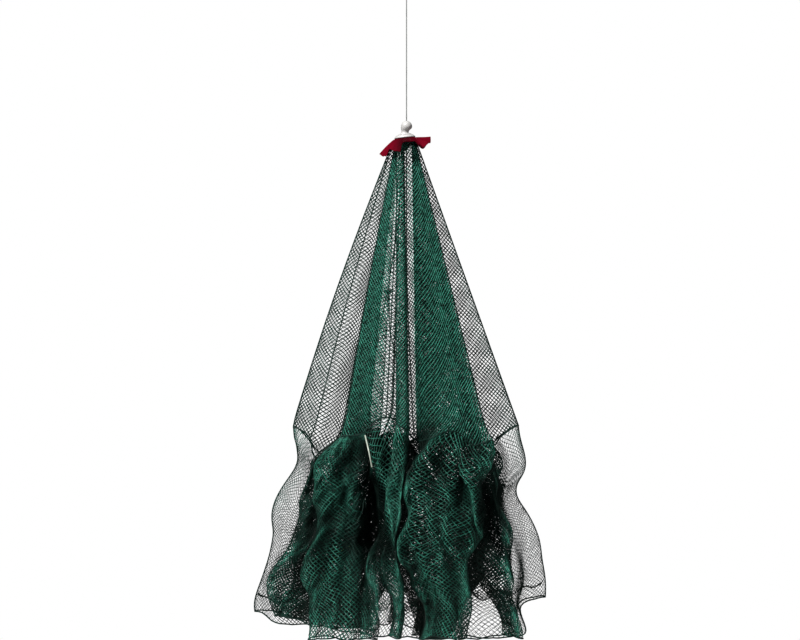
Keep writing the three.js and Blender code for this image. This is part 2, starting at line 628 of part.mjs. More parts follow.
function drawCords() {
  const { x, y, z, halfZ } = drawKnot;
  const under = z - halfZ - gap;
  const cords = [
    { name: "draw_cord_main", steps: 46, route: [
      [-6, -1, washerUnderside - 0.7], [-6, -2, -300], [-14, -3, -400], [-26, -3, -480],
      [x, y, z + halfZ + gap]] },
    { name: "draw_cord_left", steps: 60, route: [
      [x - 3, y, under + gap], [-41, -3, -560], [-56, -3, -650], [-66, -2, -740],
      [-82, -1, -806], ...tiedTo("funnel_left", 2)] },
    { name: "draw_cord_centre", steps: 46, route: [
      [x + 1.5, y, under], [-27, -6, -566], [-16, -10, -620], [-13, -14, -700],
      ...tiedTo("funnel_centre", 26)] },
    { name: "draw_cord_right", steps: 78, route: [
      [0, -1, washerUnderside], [0, -3, -340], [1, -6, -500], [7, -8, -640],
      [13, -6, -738], [34, -2, -790], ...tiedTo("funnel_right", 12)] },
  ];
  for (const { name, route, steps } of cords) {
    addPiece(name, cordSolid(route, drawCordDiameter, steps), finishes.cord);
  }
}

/** A short pale rod along the edge of the left flap, on the face of the net. */
function rod() {
  const column = turnColumn("flap_left");
  const away = netThickness / 2 + 2 * gap + rodDiameter / 2;
  const stand = new THREE.Vector3(-0.5, -0.87, 0).multiplyScalar(away);
  const ends = [0.02, 0.085, 0.15].map((t) => wallRing(t)[column].clone().add(stand).toArray());
  addPiece("rod", cordSolid(ends, rodDiameter, 6), finishes.paleRod);
}

function funnelCord() {
  const route = [
    [-134, -18, -981], [-131, -17.7, -966], [-127, -17.4, -950], [-121, -17, -934],
    [-113, -16.6, -922], [-100, -16.2, -915], [-84, -15.6, -912]];
  const lying = route.map((point) => swayed(new THREE.Vector3(...point)).toArray());
  addPiece("funnel_cord", cordSolid(lying, funnelCordDiameter, 16), finishes.yellowCord);
}

// ---------------------------------------------------------------- assembly

hangingLoop();
hangingKnot();
hangingLine();
cap();
washer();
collar();
canopy();
wall();
funnels.forEach(funnel);
bottom();
drawKnotSolid();
drawCords();
rod();
funnelCord();

export default trap;
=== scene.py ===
"""A folding fish trap hanging folded from its line.

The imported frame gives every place. The nets are twine in diamonds, cut flat and hung in the
trap's folds. Cords, cap, washer and collar are modelled round them.
"""

from __future__ import annotations

import logging
import math
from dataclasses import dataclass
from enum import Enum
from typing import Callable, Iterable, Sequence

import bmesh
import bpy
import numpy as np
from mathutils import Matrix, Vector
from mathutils.bvhtree import BVHTree
from mathutils.geometry import barycentric_transform

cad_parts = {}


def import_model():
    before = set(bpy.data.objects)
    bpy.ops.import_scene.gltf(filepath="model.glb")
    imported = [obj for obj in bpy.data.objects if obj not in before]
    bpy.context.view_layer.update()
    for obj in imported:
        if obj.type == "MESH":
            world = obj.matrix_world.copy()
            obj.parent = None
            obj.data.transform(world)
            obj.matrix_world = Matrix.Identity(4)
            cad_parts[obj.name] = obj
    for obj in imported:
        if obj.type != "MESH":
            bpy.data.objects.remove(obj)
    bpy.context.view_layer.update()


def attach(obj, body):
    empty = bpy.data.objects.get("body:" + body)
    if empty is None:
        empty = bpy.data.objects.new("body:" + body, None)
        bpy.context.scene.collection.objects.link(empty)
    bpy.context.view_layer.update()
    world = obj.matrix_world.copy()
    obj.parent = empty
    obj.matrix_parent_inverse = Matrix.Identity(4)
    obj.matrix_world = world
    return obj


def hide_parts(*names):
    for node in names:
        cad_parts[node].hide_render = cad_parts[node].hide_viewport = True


LOG = logging.getLogger("fish_trap")
MM = 0.001
ROOT = "root"
STRANDS = 3  # in every cord
SAME = 1e-6  # two points closer than this are one
Colour = tuple[float, float, float]
Point = tuple[float, float, float]
Pair = tuple[float, float]
Mesh = bpy.types.Mesh
Piece = bpy.types.Object


# ------------ shader building


class Wire:
    """A value socket on which an expression adds Math nodes."""

    def __init__(self, shader: Shader, socket: bpy.types.NodeSocket) -> None:
        """Keeps the socket and the shader that it belongs to."""
        self.shader, self.socket = shader, socket

    def _math(self, operation: str, *values: Wire | float) -> Wire:
        """A Math node on these values."""
        return self.shader.node("ShaderNodeMath", {"operation": operation}, dict(enumerate(values)))

    def __add__(self, other: Wire | float) -> Wire:
        """self + other."""
        return self._math("ADD", self, other)

    def __radd__(self, other: Wire | float) -> Wire:
        """other + self."""
        return self._math("ADD", other, self)

    def __sub__(self, other: Wire | float) -> Wire:
        """self - other."""
        return self._math("SUBTRACT", self, other)

    def __rsub__(self, other: Wire | float) -> Wire:
        """other - self."""
        return self._math("SUBTRACT", other, self)

    def __mul__(self, other: Wire | float) -> Wire:
        """self * other."""
        return self._math("MULTIPLY", self, other)

    def __rmul__(self, other: Wire | float) -> Wire:
        """other * self."""
        return self._math("MULTIPLY", other, self)

    def sine(self) -> Wire:
        """The sine of self."""
        return self._math("SINE", self)

    def clamped(self) -> Wire:
        """self kept between 0 and 1."""
        return self._math("MINIMUM", self._math("MAXIMUM", self, 0.0), 1.0)


class Shader:
    """A node material with one Principled shader."""

    def __init__(self, name: str) -> None:
        """Starts an empty material of that name.

        Args:
            name: of the material.
        """
        self.material = bpy.data.materials.new(name)
        self.material.use_nodes = True
        self.nodes = self.material.node_tree.nodes
        self.links = self.material.node_tree.links
        self.nodes.clear()
        output = self.nodes.new("ShaderNodeOutputMaterial")
        self.surface = self.nodes.new("ShaderNodeBsdfPrincipled")
        self.links.new(self.surface.outputs[0], output.inputs["Surface"])

    def node(
        self,
        kind: str,
        settings: dict[str, object] | None = None,
        inputs: dict[str | int, object] | None = None,
        output: str | int = 0,
    ) -> Wire:
        """Adds a node.

        Args:
            kind: the node's type.
            settings: its properties, set first.
            inputs: values or wires by socket name or number.
            output: the socket that is handed back.

        Returns:
            The chosen output.
        """
        made = self.nodes.new(kind)
        for key, value in (settings or {}).items():
            setattr(made, key, value)
        for key, value in (inputs or {}).items():
            self.feed(made.inputs[key], value)
        return Wire(self, made.outputs[output])

    def feed(self, socket: bpy.types.NodeSocket, value: object) -> None:
        """Links a wire to a socket, or sets its value.

        Args:
            socket: the socket.
            value: a wire, a colour or another value.
        """
        if isinstance(value, Wire):
            self.links.new(value.socket, socket)
        elif isinstance(value, tuple) and len(value) == 3 and socket.type == "RGBA":
            socket.default_value = (*value, 1.0)
        else:
            socket.default_value = value

    def set(self, **sockets: object) -> None:
        """Sets sockets of the Principled shader, underscores standing for spaces.

        Args:
            sockets: value or wire by socket name.
        """
        for key, value in sockets.items():
            self.feed(self.surface.inputs[key.replace("_", " ")], value)

    def place(self) -> Wire:
        """Object coordinates."""
        return self.node("ShaderNodeTexCoord", output="Object")

    def noise(self, scale: float, detail: float, stretch: Point | None = None) -> Wire:
        """Noise on Object coordinates, from 0 to 1, stretched along an axis if wanted.

        Args:
            scale: its scale.
            detail: its octaves.
            stretch: the scale of each axis.

        Returns:
            The noise.
        """
        where = self.place()
        if stretch is not None:
            where = self.node("ShaderNodeMapping", {}, {"Vector": where, "Scale": stretch})
        sockets = {"Vector": where, "Scale": scale, "Detail": detail}
        return self.node("ShaderNodeTexNoise", {}, sockets)

    def mix(self, share: Wire | float, first: Wire | Colour, second: Wire | Colour) -> Wire:
        """A mix of two colours."""
        sockets = {0: share, 6: first, 7: second}
        return self.node("ShaderNodeMix", {"data_type": "RGBA"}, sockets, output=2)

    def bump(self, height: Wire, distance: float, strength: float) -> Wire:
        """A Bump node on a height, its distance in metres.

        Args:
            height: the height.
            distance: what a height of 1 stands for.
            strength: its share.

        Returns:
            The normal.
        """
        return self.node(
            "ShaderNodeBump", {}, {"Height": height, "Distance": distance, "Strength": strength}
        )


# ------------ finishes


@dataclass(frozen=True)
class TwineFinish:
    """Green twine of the nets, a little glossy and uneven in colour."""

    name: str
    deep: Colour
    paler_tone: Colour
    roughness: float
    painted_fold_shade: bool = False  # painted shade: twine among the folds and on inner nets is painted dark, outer twine pale
    tone: float = 16.0  # scale of the broad changes of colour
    fibre: float = 420.0  # scale of the twine's own unevenness
    patch: float = 200.0  # scale of the patches that have paled

    def material(self) -> bpy.types.Material:
        """Builds the material.

        Returns:
            The material.
        """
        shader = Shader(self.name)
        broad = shader.noise(self.tone, 3.0, (1.0, 1.0, 0.35))
        fine = shader.noise(self.fibre, 1.0)
        share = (broad * 0.9 + fine * 0.7 - 0.3).clamped()
        if self.painted_fold_shade:
            patch = shader.noise(self.patch, 2.0)
            outward = shader.node(
                "ShaderNodeAttribute", {"attribute_name": "outward"}, output="Fac"
            )
            # painted shade: outward, the light worked out among the folds, darkens the twine; broad
            # and patch are its own uneven tone
            share = (outward * (0.3 + 0.5 * broad + 2.6 * (patch - 0.46))).clamped()
        shader.set(
            Base_Color=shader.mix(share, self.deep, self.paler_tone),
            Roughness=(self.roughness + 0.16 * (fine - 0.5)),
            Normal=shader.bump(fine, 0.0002, 0.5),
            Specular_IOR_Level=0.2,
        )
        return shader.material


@dataclass(frozen=True)
class CordFinish:
    """Twisted or braided cord with fibres along it."""

    name: str
    deep: Colour
    paler_tone: Colour
    roughness: float = 0.7
    sheen: float = 0.2
    fibre: float = 1800.0  # scale of the fibres
    tone: float = 40.0  # scale of the broad changes of colour

    def material(self) -> bpy.types.Material:
        """Builds the material.

        Returns:
            The material.
        """
        shader = Shader(self.name)
        fibre = shader.noise(self.fibre, 2.0, (1.0, 1.0, 0.16))
        broad = shader.noise(self.tone, 2.0)
        share = (fibre * 0.8 + broad * 0.6 - 0.2).clamped()
        shader.set(
            Base_Color=shader.mix(share, self.deep, self.paler_tone),
            Roughness=self.roughness + 0.15 * (fibre - 0.5),
            Normal=shader.bump(fibre, 0.0001, 0.6),
            Sheen_Weight=self.sheen,
        )
        return shader.material


@dataclass(frozen=True)
class PlasticFinish:
    """Moulded plastic with a fine skin, slightly dulled in patches."""

    name: str
    colour: Colour
    dull: Colour
    roughness: float = 0.34
    patch: float = 70.0  # scale of the dulled patches
    skin: float = 2600.0  # scale of the moulded skin
    depth: float = 0.08  # how much light goes into it
    colour_depth: Colour = (0.004, 0.004, 0.003)  # and how far, in metres

    def material(self) -> bpy.types.Material:
        """Builds the material.

        Returns:
            The material.
        """
        shader = Shader(self.name)
        patches = shader.noise(self.patch, 4.0)
        skin = shader.noise(self.skin, 2.0)
        shader.set(
            Base_Color=shader.mix((patches * 1.4 - 0.5).clamped(), self.colour, self.dull),
            Roughness=self.roughness + 0.2 * (patches - 0.5),
            Normal=shader.bump(skin, 0.00004, 0.5),
        )
        shader.set(Subsurface_Weight=self.depth, Subsurface_Radius=self.colour_depth)
        return shader.material


@dataclass(frozen=True)
class ClothFinish:
    """Plain woven cloth on its own UV map, threads at their real pitch."""

    name: str
    colour: Colour
    shade: Colour
    threads: Pair  # over the width and the length of its UV map
    roughness: float = 0.62
    patch: float = 60.0  # scale of the changes of colour
    lobe_light_pace: float = 103.0  # painted light: how fast paler bands, painted on the lobes as if lit, follow one another along X
    lobe_light_start: float = 4.97  # and where they begin

    def material(self) -> bpy.types.Material:
        """Builds the material.

        Returns:
            The material.
        """
        shader = Shader(self.name)
        where = shader.node("ShaderNodeUVMap", {"uv_map": "weave"})
        across, along = (
            shader.node("ShaderNodeSeparateXYZ", {}, {0: where}, output=axis) for axis in "XY"
        )
        warp = (across * (math.pi * self.threads[0])).sine()
        weft = (along * (math.pi * self.threads[1])).sine()
        weave = warp * weft * 0.5 + 0.5
        patches = shader.noise(self.patch, 3.0)
        # painted light: paler bands along X fall on the collar's lobes, as where its folds catch
        # the light
        placed = shader.node("ShaderNodeSeparateXYZ", {}, {0: shader.place()}, output="X")
        lobe_light = (placed * self.lobe_light_pace + self.lobe_light_start).sine() * 0.5 + 0.5
        share = (weave * 0.25 + patches * 0.4 + lobe_light * 0.6 - 0.2).clamped()
        shader.set(
            Base_Color=shader.mix(share, self.shade, self.colour),
            Roughness=self.roughness + 0.12 * (patches - 0.5),
            Normal=shader.bump(weave + 0.4 * patches, 0.00025, 0.7),
            Specular_IOR_Level=0.03,
        )
        return shader.material


class Finish(Enum):
    """The trap's finishes."""

    # painted shade: the first, near-black colour is painted on inner nets and between the folds,
    # the second on lit outer twine
    NET = TwineFinish("net_twine", (0.0007, 0.009, 0.006), (0.055, 0.26, 0.19), 0.5, True)
    BINDING = TwineFinish("binding_twine", (0.002, 0.012, 0.009), (0.008, 0.035, 0.026), 0.55)
    LINE = CordFinish("grey_line", (0.1, 0.105, 0.1), (0.3, 0.31, 0.3))
    DRAW = CordFinish("dark_cord", (0.004, 0.012, 0.009), (0.02, 0.04, 0.032))
    YELLOW = CordFinish("yellow_green_cord", (0.14, 0.16, 0.03), (0.42, 0.45, 0.14))
    WHITE = PlasticFinish("white_moulding", (0.4, 0.395, 0.385), (0.3, 0.296, 0.288))
    PALE = PlasticFinish("pale_rod_plastic", (0.34, 0.37, 0.32), (0.24, 0.27, 0.22))
    RED = ClothFinish("crimson_cloth", (0.15, 0.001, 0.012), (0.028, 0.0002, 0.0025), (420.0, 90.0))

    def material(self) -> bpy.types.Material:
        """The finish's material, built once."""
        made = bpy.data.materials.get(self.value.name)
        return made or self.value.material()


# ------------ the trap's folds


@dataclass(frozen=True)
class Fold:
    """Where the net turns or passes. Millimetres, as in the frame."""

    name: str
    neck_x: float
    seam_x: float
    depth: float
    span: float
    seam_z: float
    waist_x: float
    waist_depth: float
    waist_span: float
    hem_x: float
    hem_depth: float
    hem_span: float
    hem_z: float


FOLDS = [
    Fold(*row)
    for row in (
        ("corner_left", -26, -180, 0, -14, -724, -197, 0, -28, -228, 4, -36, -1021),
        ("crease_left", -25, -150, -12, 0, -742, -168, -24, 0, -204, -38, 0, -1034),
        ("dip_left", -21.5, -122, -10, 0, -779, -138, -24, 0, -164, -34, 0, -1036),
        ("left_1", -16, -66, -17, -12, -741, -84, -33, -14, -64, -46, -22, -1044),
        ("left_2", -19, -102, -29, -12, -742, -166, -46, -16, -208, -70, -24, -1017),
        ("left_3", -14, -43, -41, -12, -738, -66, -60, -16, -56, -96, -22, -1050),
        ("left_4", -18.5, -97, -53, -12, -736, -142, -76, -16, -150, -122, -22, -1046),
        ("hollow_left", -16, -74, -58, 0, -738, -48, -68, 0, -80, -138, 0, -1044),
        ("flap_left", -14, -66, -60, 0, -736, -46, -122, 0, -58, -148, 0, -1043),
        ("crown_left", -11, -32, -62, 0, -712, -30, -120, 0, -36, -132, 0, -1043),
        ("centre_1", -6, 0, -62, -10, -730, -8, -112, -10, -11, -136, -14, -1041),
        ("centre_2", -15, -14, -72, -10, -728, -29, -116, -10, -27, -147, -14, -1040),
        ("centre_3", -6.5, -1, -66, 24, -730, -9, -114, 24, -13, -144, 34, -1041),
        ("hollow_centre", -3, 8, -56, 0, -742, -2, -84, 0, -6, -118, 0, -1046),
        ("hollow_right", 1, 16, -57, 0, -744, 9, -82, 0, 18, -120, 0, -1046),
        ("flap_right", 5, 40, -61, 0, -742, 4, -130, 0, 22, -146, 0, -1043),
        ("belly_right", 12, 84, -60, 0, -738, 56, -148, 0, 54, -160, 0, -1041),
        ("right_1", 15, 126, -52, 12, -742, 112, -110, 18, 84, -134, 22, -1043),
        ("right_2", 10.5, 20.5, -41, 12, -736, 30, -86, 18, 22, -106, 22, -1048),
        ("right_3", 14.5, 122, -30, 12, -746, 154, -66, 18, 168, -82, 22, -1050),
        ("right_4", 10, 19.5, -18, 12, -740, 84, -42, 16, 148, -58, 20, -1050),
        ("dip_right", 14, 129, -10, 0, -754, 152, -26, 0, 180, -36, 0, -1050),
        ("step_right", 16, 146, -6, 0, -740, 168, -18, 0, 190, -28, 0, -1006),
        ("corner_right", 18, 176, 0, 14, -722, 191, 0, 28, 220, 2, 36, -996),
        ("rear_step_right", 16, 148, 6, 0, -738, 170, 18, 0, 190, 28, 0, -1008),
        ("rear_dip_right", 14, 132, 10, 0, -750, 152, 27, 0, 180, 38, 0, -1056),
        ("rear_1", 10, 20, 16, 8, -738, 70, 43, 14, 28, 58, 18, -1068),
        ("rear_2", 13, 118, 24, 8, -744, 140, 58, 14, 82, 76, 18, -1070),
        ("inner_right_1", 10, 24, 32, 8, -740, -64, 72, 14, 26, 94, 18, -1068),
        ("inner_right_2", 13, 114, 40, 8, -742, 150, 86, 14, 76, 112, 18, -1072),
        ("rear_centre", -7, -15, 47, 8, -736, -20, 99, 12, 22, 126, 16, -1072),
        ("rear_3", -3, 1, 55, 8, -738, 60, 112, 14, 78, 140, 18, -1074),
        ("rear_4", -9, -26, 58, -14, -738, -60, 116, -22, -30, 140, -30, -1056),
        ("rear_5", -18, -101, 38, -8, -746, -150, 76, -14, -198, 94, -20, -1040),
        ("inner_left_1", -15, -64, 30, -8, -742, -20, 62, -14, -60, 80, -16, -1050),
        ("inner_left_2", -18, -96, 23, -8, -744, -136, 49, -12, -150, 68, -14, -1046),
        ("rear_6", -15, -68, 16, -8, -742, -60, 38, -12, -62, 54, -14, -1050),
        ("rear_dip_left", -21.5, -124, 9, 0, -770, -154, 27, 0, -186, 40, 0, -1030),
    )
]


@dataclass(frozen=True)
class Dent:
    """A place where the wall is pushed sideways, in millimetres."""

    x: float
    z: float
    reach: float
    shift: float


def eased_step(part: np.ndarray) -> np.ndarray:
    """0 below 0, 1 above 1 and smooth between."""
    part = np.clip(part, 0, 1)
    return part * part * (3 - 2 * part)


@dataclass(frozen=True)
class Crease:
    """A ridge or hollow that runs along the wall. Millimetres."""

    route: tuple[Pair, ...]  # x and z of its middle
    reach: float  # half of its width
    push: float  # towards the front, or away from it if negative
    lean: float = 0.0  # how far its crest leans to the right, as a part of the push
    pinch: float = 0.0  # how far the net is drawn in to its middle
    front: float = -80.0  # it is full in front of this depth
    back: float = -15.0  # and ends behind this one
    taper: float = 34.0  # length over which it fades in and out

    def shift(self, points: np.ndarray) -> np.ndarray:
        """How far it moves each point.

        Args:
            points: the points.

        Returns:
            The shift of each.
        """
        place = points[..., [0, 2]]
        line = np.array(self.route, float)
        nearest = np.zeros_like(place)
        best = np.full(place.shape[:-1], np.inf)
        done, run = 0.0, np.zeros(place.shape[:-1])
        for start, end in zip(line, line[1:]):
            length = float(np.linalg.norm(end - start))
            along = np.clip(((place - start) @ (end - start)) / length**2, 0, 1)
            foot = start + along[..., None] * (end - start)
            away = np.linalg.norm(place - foot, axis=-1)
            nearer = away < best
            best = np.where(nearer, away, best)
            nearest = np.where(nearer[..., None], foot, nearest)
            run = np.where(nearer, done + along * length, run)
            done += length
        share = np.exp(-((best / self.reach) ** 2))
        share *= eased_step((self.back - points[..., 1]) / (self.back - self.front))
        share *= eased_step(np.minimum(run, done - run) / min(self.taper, done / 2))
        draw = (nearest - place) * (self.pinch * share)[..., None]
        moved = np.zeros_like(points)
        moved[..., 0] = draw[..., 0] + self.lean * abs(self.push) * share
        moved[..., 1] = -self.push * share
        moved[..., 2] = draw[..., 1]
        return moved


@dataclass(frozen=True)
class Tug:
    """A place where the nets are drawn aside. Millimetres."""

    middle: Point
    reach: Point
    pull: Point

    def shift(self, points: np.ndarray) -> np.ndarray:
        """How far it moves each point."""
        away = (((points - self.middle) / self.reach) ** 2).sum(axis=-1)
        return np.exp(-away)[..., None] * np.array(self.pull)


@dataclass(frozen=True)
class Crumple:
    """Small sharp folds that fan out from the crown all over the wall. Millimetres."""

    height: float = 7.5
    width: float = 38.0  # from one to the next
    length: float = 110.0
    depth: float = 90.0  # through the trap
    apex: float = -500.0  # where they would meet
    spread: float = -880.0  # the width is true at this height
    outer: float = 60.0  # they are full this far from the trap's middle plane
    least: float = 0.3  # their share of the sideways shift at the middle plane
    top: float = -712.0  # they begin here and are full at the lower height
    full: float = -800.0
    # the axis of each set of folds, how much finer it is and its share of the height
    sets: tuple[tuple[int, float, float], ...] = (
        (1, 1.0, 1.0), (1, 2.1, 0.35), (0, 1.0, 0.35), (2, 1.0, 0.2),
    )
    waves: int = 6  # in each set
    fewest: Point = (0.5, -1.0, -1.0)  # turns of a wave in the width, the length and the depth
    most: Point = (1.1, 1.0, 1.0)
    swell: float = 1.3  # how much the waves' sum is raised
    limit: float = 1.4  # and where it is cut off
    seed: int = 11

    def shift(self, points: np.ndarray) -> np.ndarray:
        """How far it moves each point.

        Args:
            points: the points.

        Returns:
            The shift of each.
        """
        maker = np.random.default_rng(self.seed)
        x, y, z = np.moveaxis(points, -1, 0)
        fan = x * (self.spread - self.apex) / np.minimum(z - self.apex, -1.0)
        moved = np.zeros_like(points)
        for axis, finer, share in self.sets:
            rise = np.zeros_like(x)
            for _ in range(self.waves):
                across, down, through = maker.uniform(self.fewest, self.most) * finer
                turn = across * fan / self.width + down * z / self.length + through * y / self.depth
                rise += np.sin(math.tau * (turn + maker.uniform()))
            rise *= self.swell / math.sqrt(self.waves)
            if axis == 1:  # sharp ridges that stand out from the middle plane
                rise = (2 * np.abs(rise) - 1) * np.clip(y / self.outer, -1, 1)
            else:
                rise *= np.clip(np.abs(y) / self.outer, self.least, 1)
            moved[..., axis] += share * self.height * np.clip(rise, -self.limit, self.limit)
        return moved * eased_step((self.top - z) / (self.top - self.full))[..., None]


@dataclass(frozen=True)
class Drape:
    """The ruffles of the hanging wall, finer than the frame's folds. Millimetres."""

    top: float = -660.0  # they begin here and are full at the lower height
    full: float = -745.0
    crumple: Crumple = Crumple()
    tugs: tuple[Tug, ...] = (
        Tug((-128, -44, -774), (36, 46, 36), (-28, 0, 0)),
        Tug((-18, 40, -750), (26, 40, 34), (-26, 0, 0)),
        Tug((140, -44, -774), (30, 46, 36), (18, 0, 0)),
        Tug((-70, 30, -772), (34, 34, 40), (36, 0, 0)),
        Tug((-52, -140, -1010), (30, 40, 60), (6, -8, 0)),
        Tug((-34, -66, -738), (34, 40, 30), (0, 0, 20)),
        Tug((70, -60, -745), (26, 40, 30), (0, 0, 12)),
        Tug((104, -60, -748), (18, 40, 34), (0, 0, -14)),
    )
    creases: tuple[Crease, ...] = (
        Crease(((-62, -718), (-41, -786), (-24, -835), (-22, -880), (-14, -926), (-11, -990),
                (-12, -1110)), 12, 22, 0.0, 0.35),
        Crease(((-60, -770), (-54, -810), (-50, -864), (-52, -945)), 16, -46, taper=50.0),
        Crease(((-80, -900), (-110, -960), (-100, -1030), (-90, -1110)), 30, 16, taper=60.0),
        Crease(((-104, -868), (-166, -910), (-211, -946), (-240, -985)), 15, 22, 0.0, 0.25, -50,
               10),
        Crease(((-100, -850), (-170, -884), (-226, -934)), 6, -10, 0.0, 0.0, -50, 10),
        Crease(((-92, -750), (-98, -800), (-104, -850), (-112, -890)), 9, -16, 0.0, 0.2, -50, 0),
        Crease(((-74, -760), (-80, -820), (-84, -880)), 8, 10, -0.2, 0.0, -50, 0),
        Crease(((70, -720), (39, -758), (17, -795), (2, -833), (-2, -880), (4, -950)), 12, 24,
               -0.5, 0.3),
        Crease(((8, -715), (5, -830)), 10, -34, taper=50.0),
        Crease(((58, -730), (51, -790), (40, -860)), 13, -18, taper=60.0),
        Crease(((72, -745), (73, -800), (70, -850)), 5, 12, 0.6, 0.2),
        Crease(((80, -750), (83, -815), (80, -870)), 8, -40, taper=55.0),
        Crease(((84, -765), (109, -822), (118, -890)), 8, 20, -0.6, taper=30.0),
        Crease(((30, -850), (60, -870), (82, -910), (92, -960), (88, -1030)), 17, 24, 0.0, 0.1,
               taper=60.0),
        Crease(((20, -820), (13, -884), (32, -925), (66, -985)), 8, 16, -0.5),
        Crease(((110, -780), (134, -864), (142, -940)), 14, -46, taper=60.0),
        Crease(((110, -905), (142, -934), (172, -985)), 15, 26, 0.2, 0.2),
        Crease(((40, -960), (70, -1010), (76, -1080)), 12, 14, 0.3),
    )

    def hung(self, grid: np.ndarray) -> np.ndarray:
        """The same places after ruffling.

        Args:
            grid: places on the net.

        Returns:
            The ruffled places.
        """
        part = eased_step((self.top - grid[..., 2]) / (self.top - self.full))[..., None]
        moved = grid.copy()
        for each in (*self.tugs, *self.creases):
            moved = moved + part * each.shift(moved)
        return moved + self.crumple.shift(moved)


@dataclass(frozen=True)
class TrapForm:
    """The trap's rings of folds at every height, in millimetres."""

    gap: float = 0.3  # between two pieces
    ball_top: float = -235.0
    cap_height: float = 22.5
    washer_height: float = 4.6
    collar_thickness: float = 1.5
    crown_tilt: float = math.radians(5.5)
    crown_shift: float = 3.0
    neck_below_collar: float = 0.6
    neck_depth: float = 0.3  # the neck's depth as a share of the seam's
    tuck_share: float = 0.6  # the gathered end's size as a share of the neck's
    tuck_height: float = 14.0
    turn_out: float = 0.21  # how far a turn of the net swells out, in spans
    turn_back: float = 0.09  # and how far back the net lies beside it
    # the slow waves sideways: their height, their pace along z and along y, and their start
    sway_x: tuple[float, float, float, float] = (8.0, 1 / 25, 1 / 42, 1.1)
    # those through the trap: their height, their pace along x and along z, and their start
    sway_y: tuple[float, float, float, float] = (6.0, 1 / 30, 1 / 66, 0.4)
    sway_top: float = -750.0  # they begin here and are full at the lower height
    sway_full: float = -850.0
    seam_gap: float = 1.8  # between the canopy's edge and the wall's
    hurry: float = 0.25  # how much sooner than evenly the folds come to the hem's places
    column_step: float = 6.0  # along the rings
    canopy_bulge: float = 6.0  # of its left edge
    drape: Drape = Drape()
    dents: tuple[Dent, ...] = (
        Dent(-188, -774, 34, 17),
        Dent(-226, -948, 34, -5),
        Dent(186, -778, 26, 4),
        Dent(190, -826, 30, -17),
        Dent(222, -935, 34, -12),
    )

    @property
    def washer_underside(self) -> float:
        """Height of the washer's lower face on the crown's own axis."""
        return self.ball_top - self.cap_height - self.gap - self.washer_height

    @property
    def tuck_z(self) -> float:
        """Height of the net's gathered end."""
        return self.washer_underside - self.gap - self.collar_thickness - self.neck_below_collar

    def tilted_by(self, x: float | np.ndarray) -> float | np.ndarray:
        """How much higher the tilted crown lies at an x."""
        return (x + self.crown_shift) * math.tan(self.crown_tilt)

    def _ring(self, place: Callable[[Fold], tuple[float, float, float, float]]) -> np.ndarray:
        """Control points of one ring, three round a turn and one where the net passes.

        Args:
            place: gives a fold's x, depth, span and height on the ring.

        Returns:
            The ring's control points.
        """
        places = [place(fold) for fold in FOLDS]
        points: list[Point] = []
        for i, (x, depth, span, z) in enumerate(places):
            if span == 0:
                points.append((x, depth, z))
                continue
            beside = (places[i - 1][0] + places[(i + 1) % len(places)][0]) / 2
            swell = math.copysign(abs(span), x - beside)
            back, out = x - swell * self.turn_back, x + swell * self.turn_out
            points += [(back, depth - span / 2, z), (out, depth, z), (back, depth + span / 2, z)]
        return np.array(points)

    def neck(self) -> np.ndarray:
        """The ring where the canopy leaves the collar.

        Returns:
            The ring's control points.
        """
        top = self.tuck_z - self.tuck_height
        return self._ring(
            lambda f: (
                f.neck_x,
                f.depth * self.neck_depth,
                f.span * self.neck_depth,
                top + self.tilted_by(f.neck_x),
            )
        )

    def tuck(self) -> np.ndarray:
        """The gathered end under the collar.

        Returns:
            The ring's control points.
        """
        ring = self.neck()
        ring[:, 0] = (ring[:, 0] + self.crown_shift) * self.tuck_share - self.crown_shift
        ring[:, 1] *= self.tuck_share
        ring[:, 2] = self.tuck_z + self.tilted_by(ring[:, 0])
        return ring

    def seam(self) -> np.ndarray:
        """The ring where canopy and wall meet."""
        return self._ring(lambda f: (f.seam_x, f.depth, f.span, f.seam_z))

    def waist(self) -> np.ndarray:
        """The ring half way down the wall.

        Returns:
            The ring's control points.
        """
        return self._ring(
            lambda f: (f.waist_x, f.waist_depth, f.waist_span, (f.seam_z + f.hem_z) / 2)
        )

    def hem(self) -> np.ndarray:
        """The ring at the wall's lower edge."""
        return self._ring(lambda f: (f.hem_x, f.hem_depth, f.hem_span, f.hem_z))

    def leg_parts(self) -> np.ndarray:
        """How many steps each leg between two control points is drawn in.

        Returns:
            The steps of each leg, in the order of the control points.
        """
        rings = np.stack([self.waist(), self.hem()])
        legs = np.linalg.norm(np.roll(rings, -1, 1) - rings, axis=2).mean(axis=0)
        return np.maximum(2, np.round(legs / self.column_step)).astype(int)

    def smoothed(self, ring: np.ndarray) -> np.ndarray:
        """A ring's control points joined by a smooth closed curve.

        Args:
            ring: the control points.

        Returns:
            The curve's points.
        """
        before, after, beyond = (np.roll(ring, k, 0) for k in (1, -1, -2))
        drawn = []
        for p0, p1, p2, p3, parts in zip(before, ring, after, beyond, self.leg_parts()):
            knots = np.cumsum([0.0, *(np.linalg.norm(b - a) ** 0.5 for a, b in
                                      ((p0, p1), (p1, p2), (p2, p3)))])
            t = (knots[1] + (knots[2] - knots[1]) * np.arange(parts) / parts)[:, None]
            k0, k1, k2, k3 = knots
            a1 = ((k1 - t) * p0 + (t - k0) * p1) / (k1 - k0)
            a2 = ((k2 - t) * p1 + (t - k1) * p2) / (k2 - k1)
            a3 = ((k3 - t) * p2 + (t - k2) * p3) / (k3 - k2)
            b1 = ((k2 - t) * a1 + (t - k0) * a2) / (k2 - k0)
            b2 = ((k3 - t) * a2 + (t - k1) * a3) / (k3 - k1)
            drawn.append(((k2 - t) * b1 + (t - k1) * b2) / (k2 - k1))
        return np.concatenate(drawn)

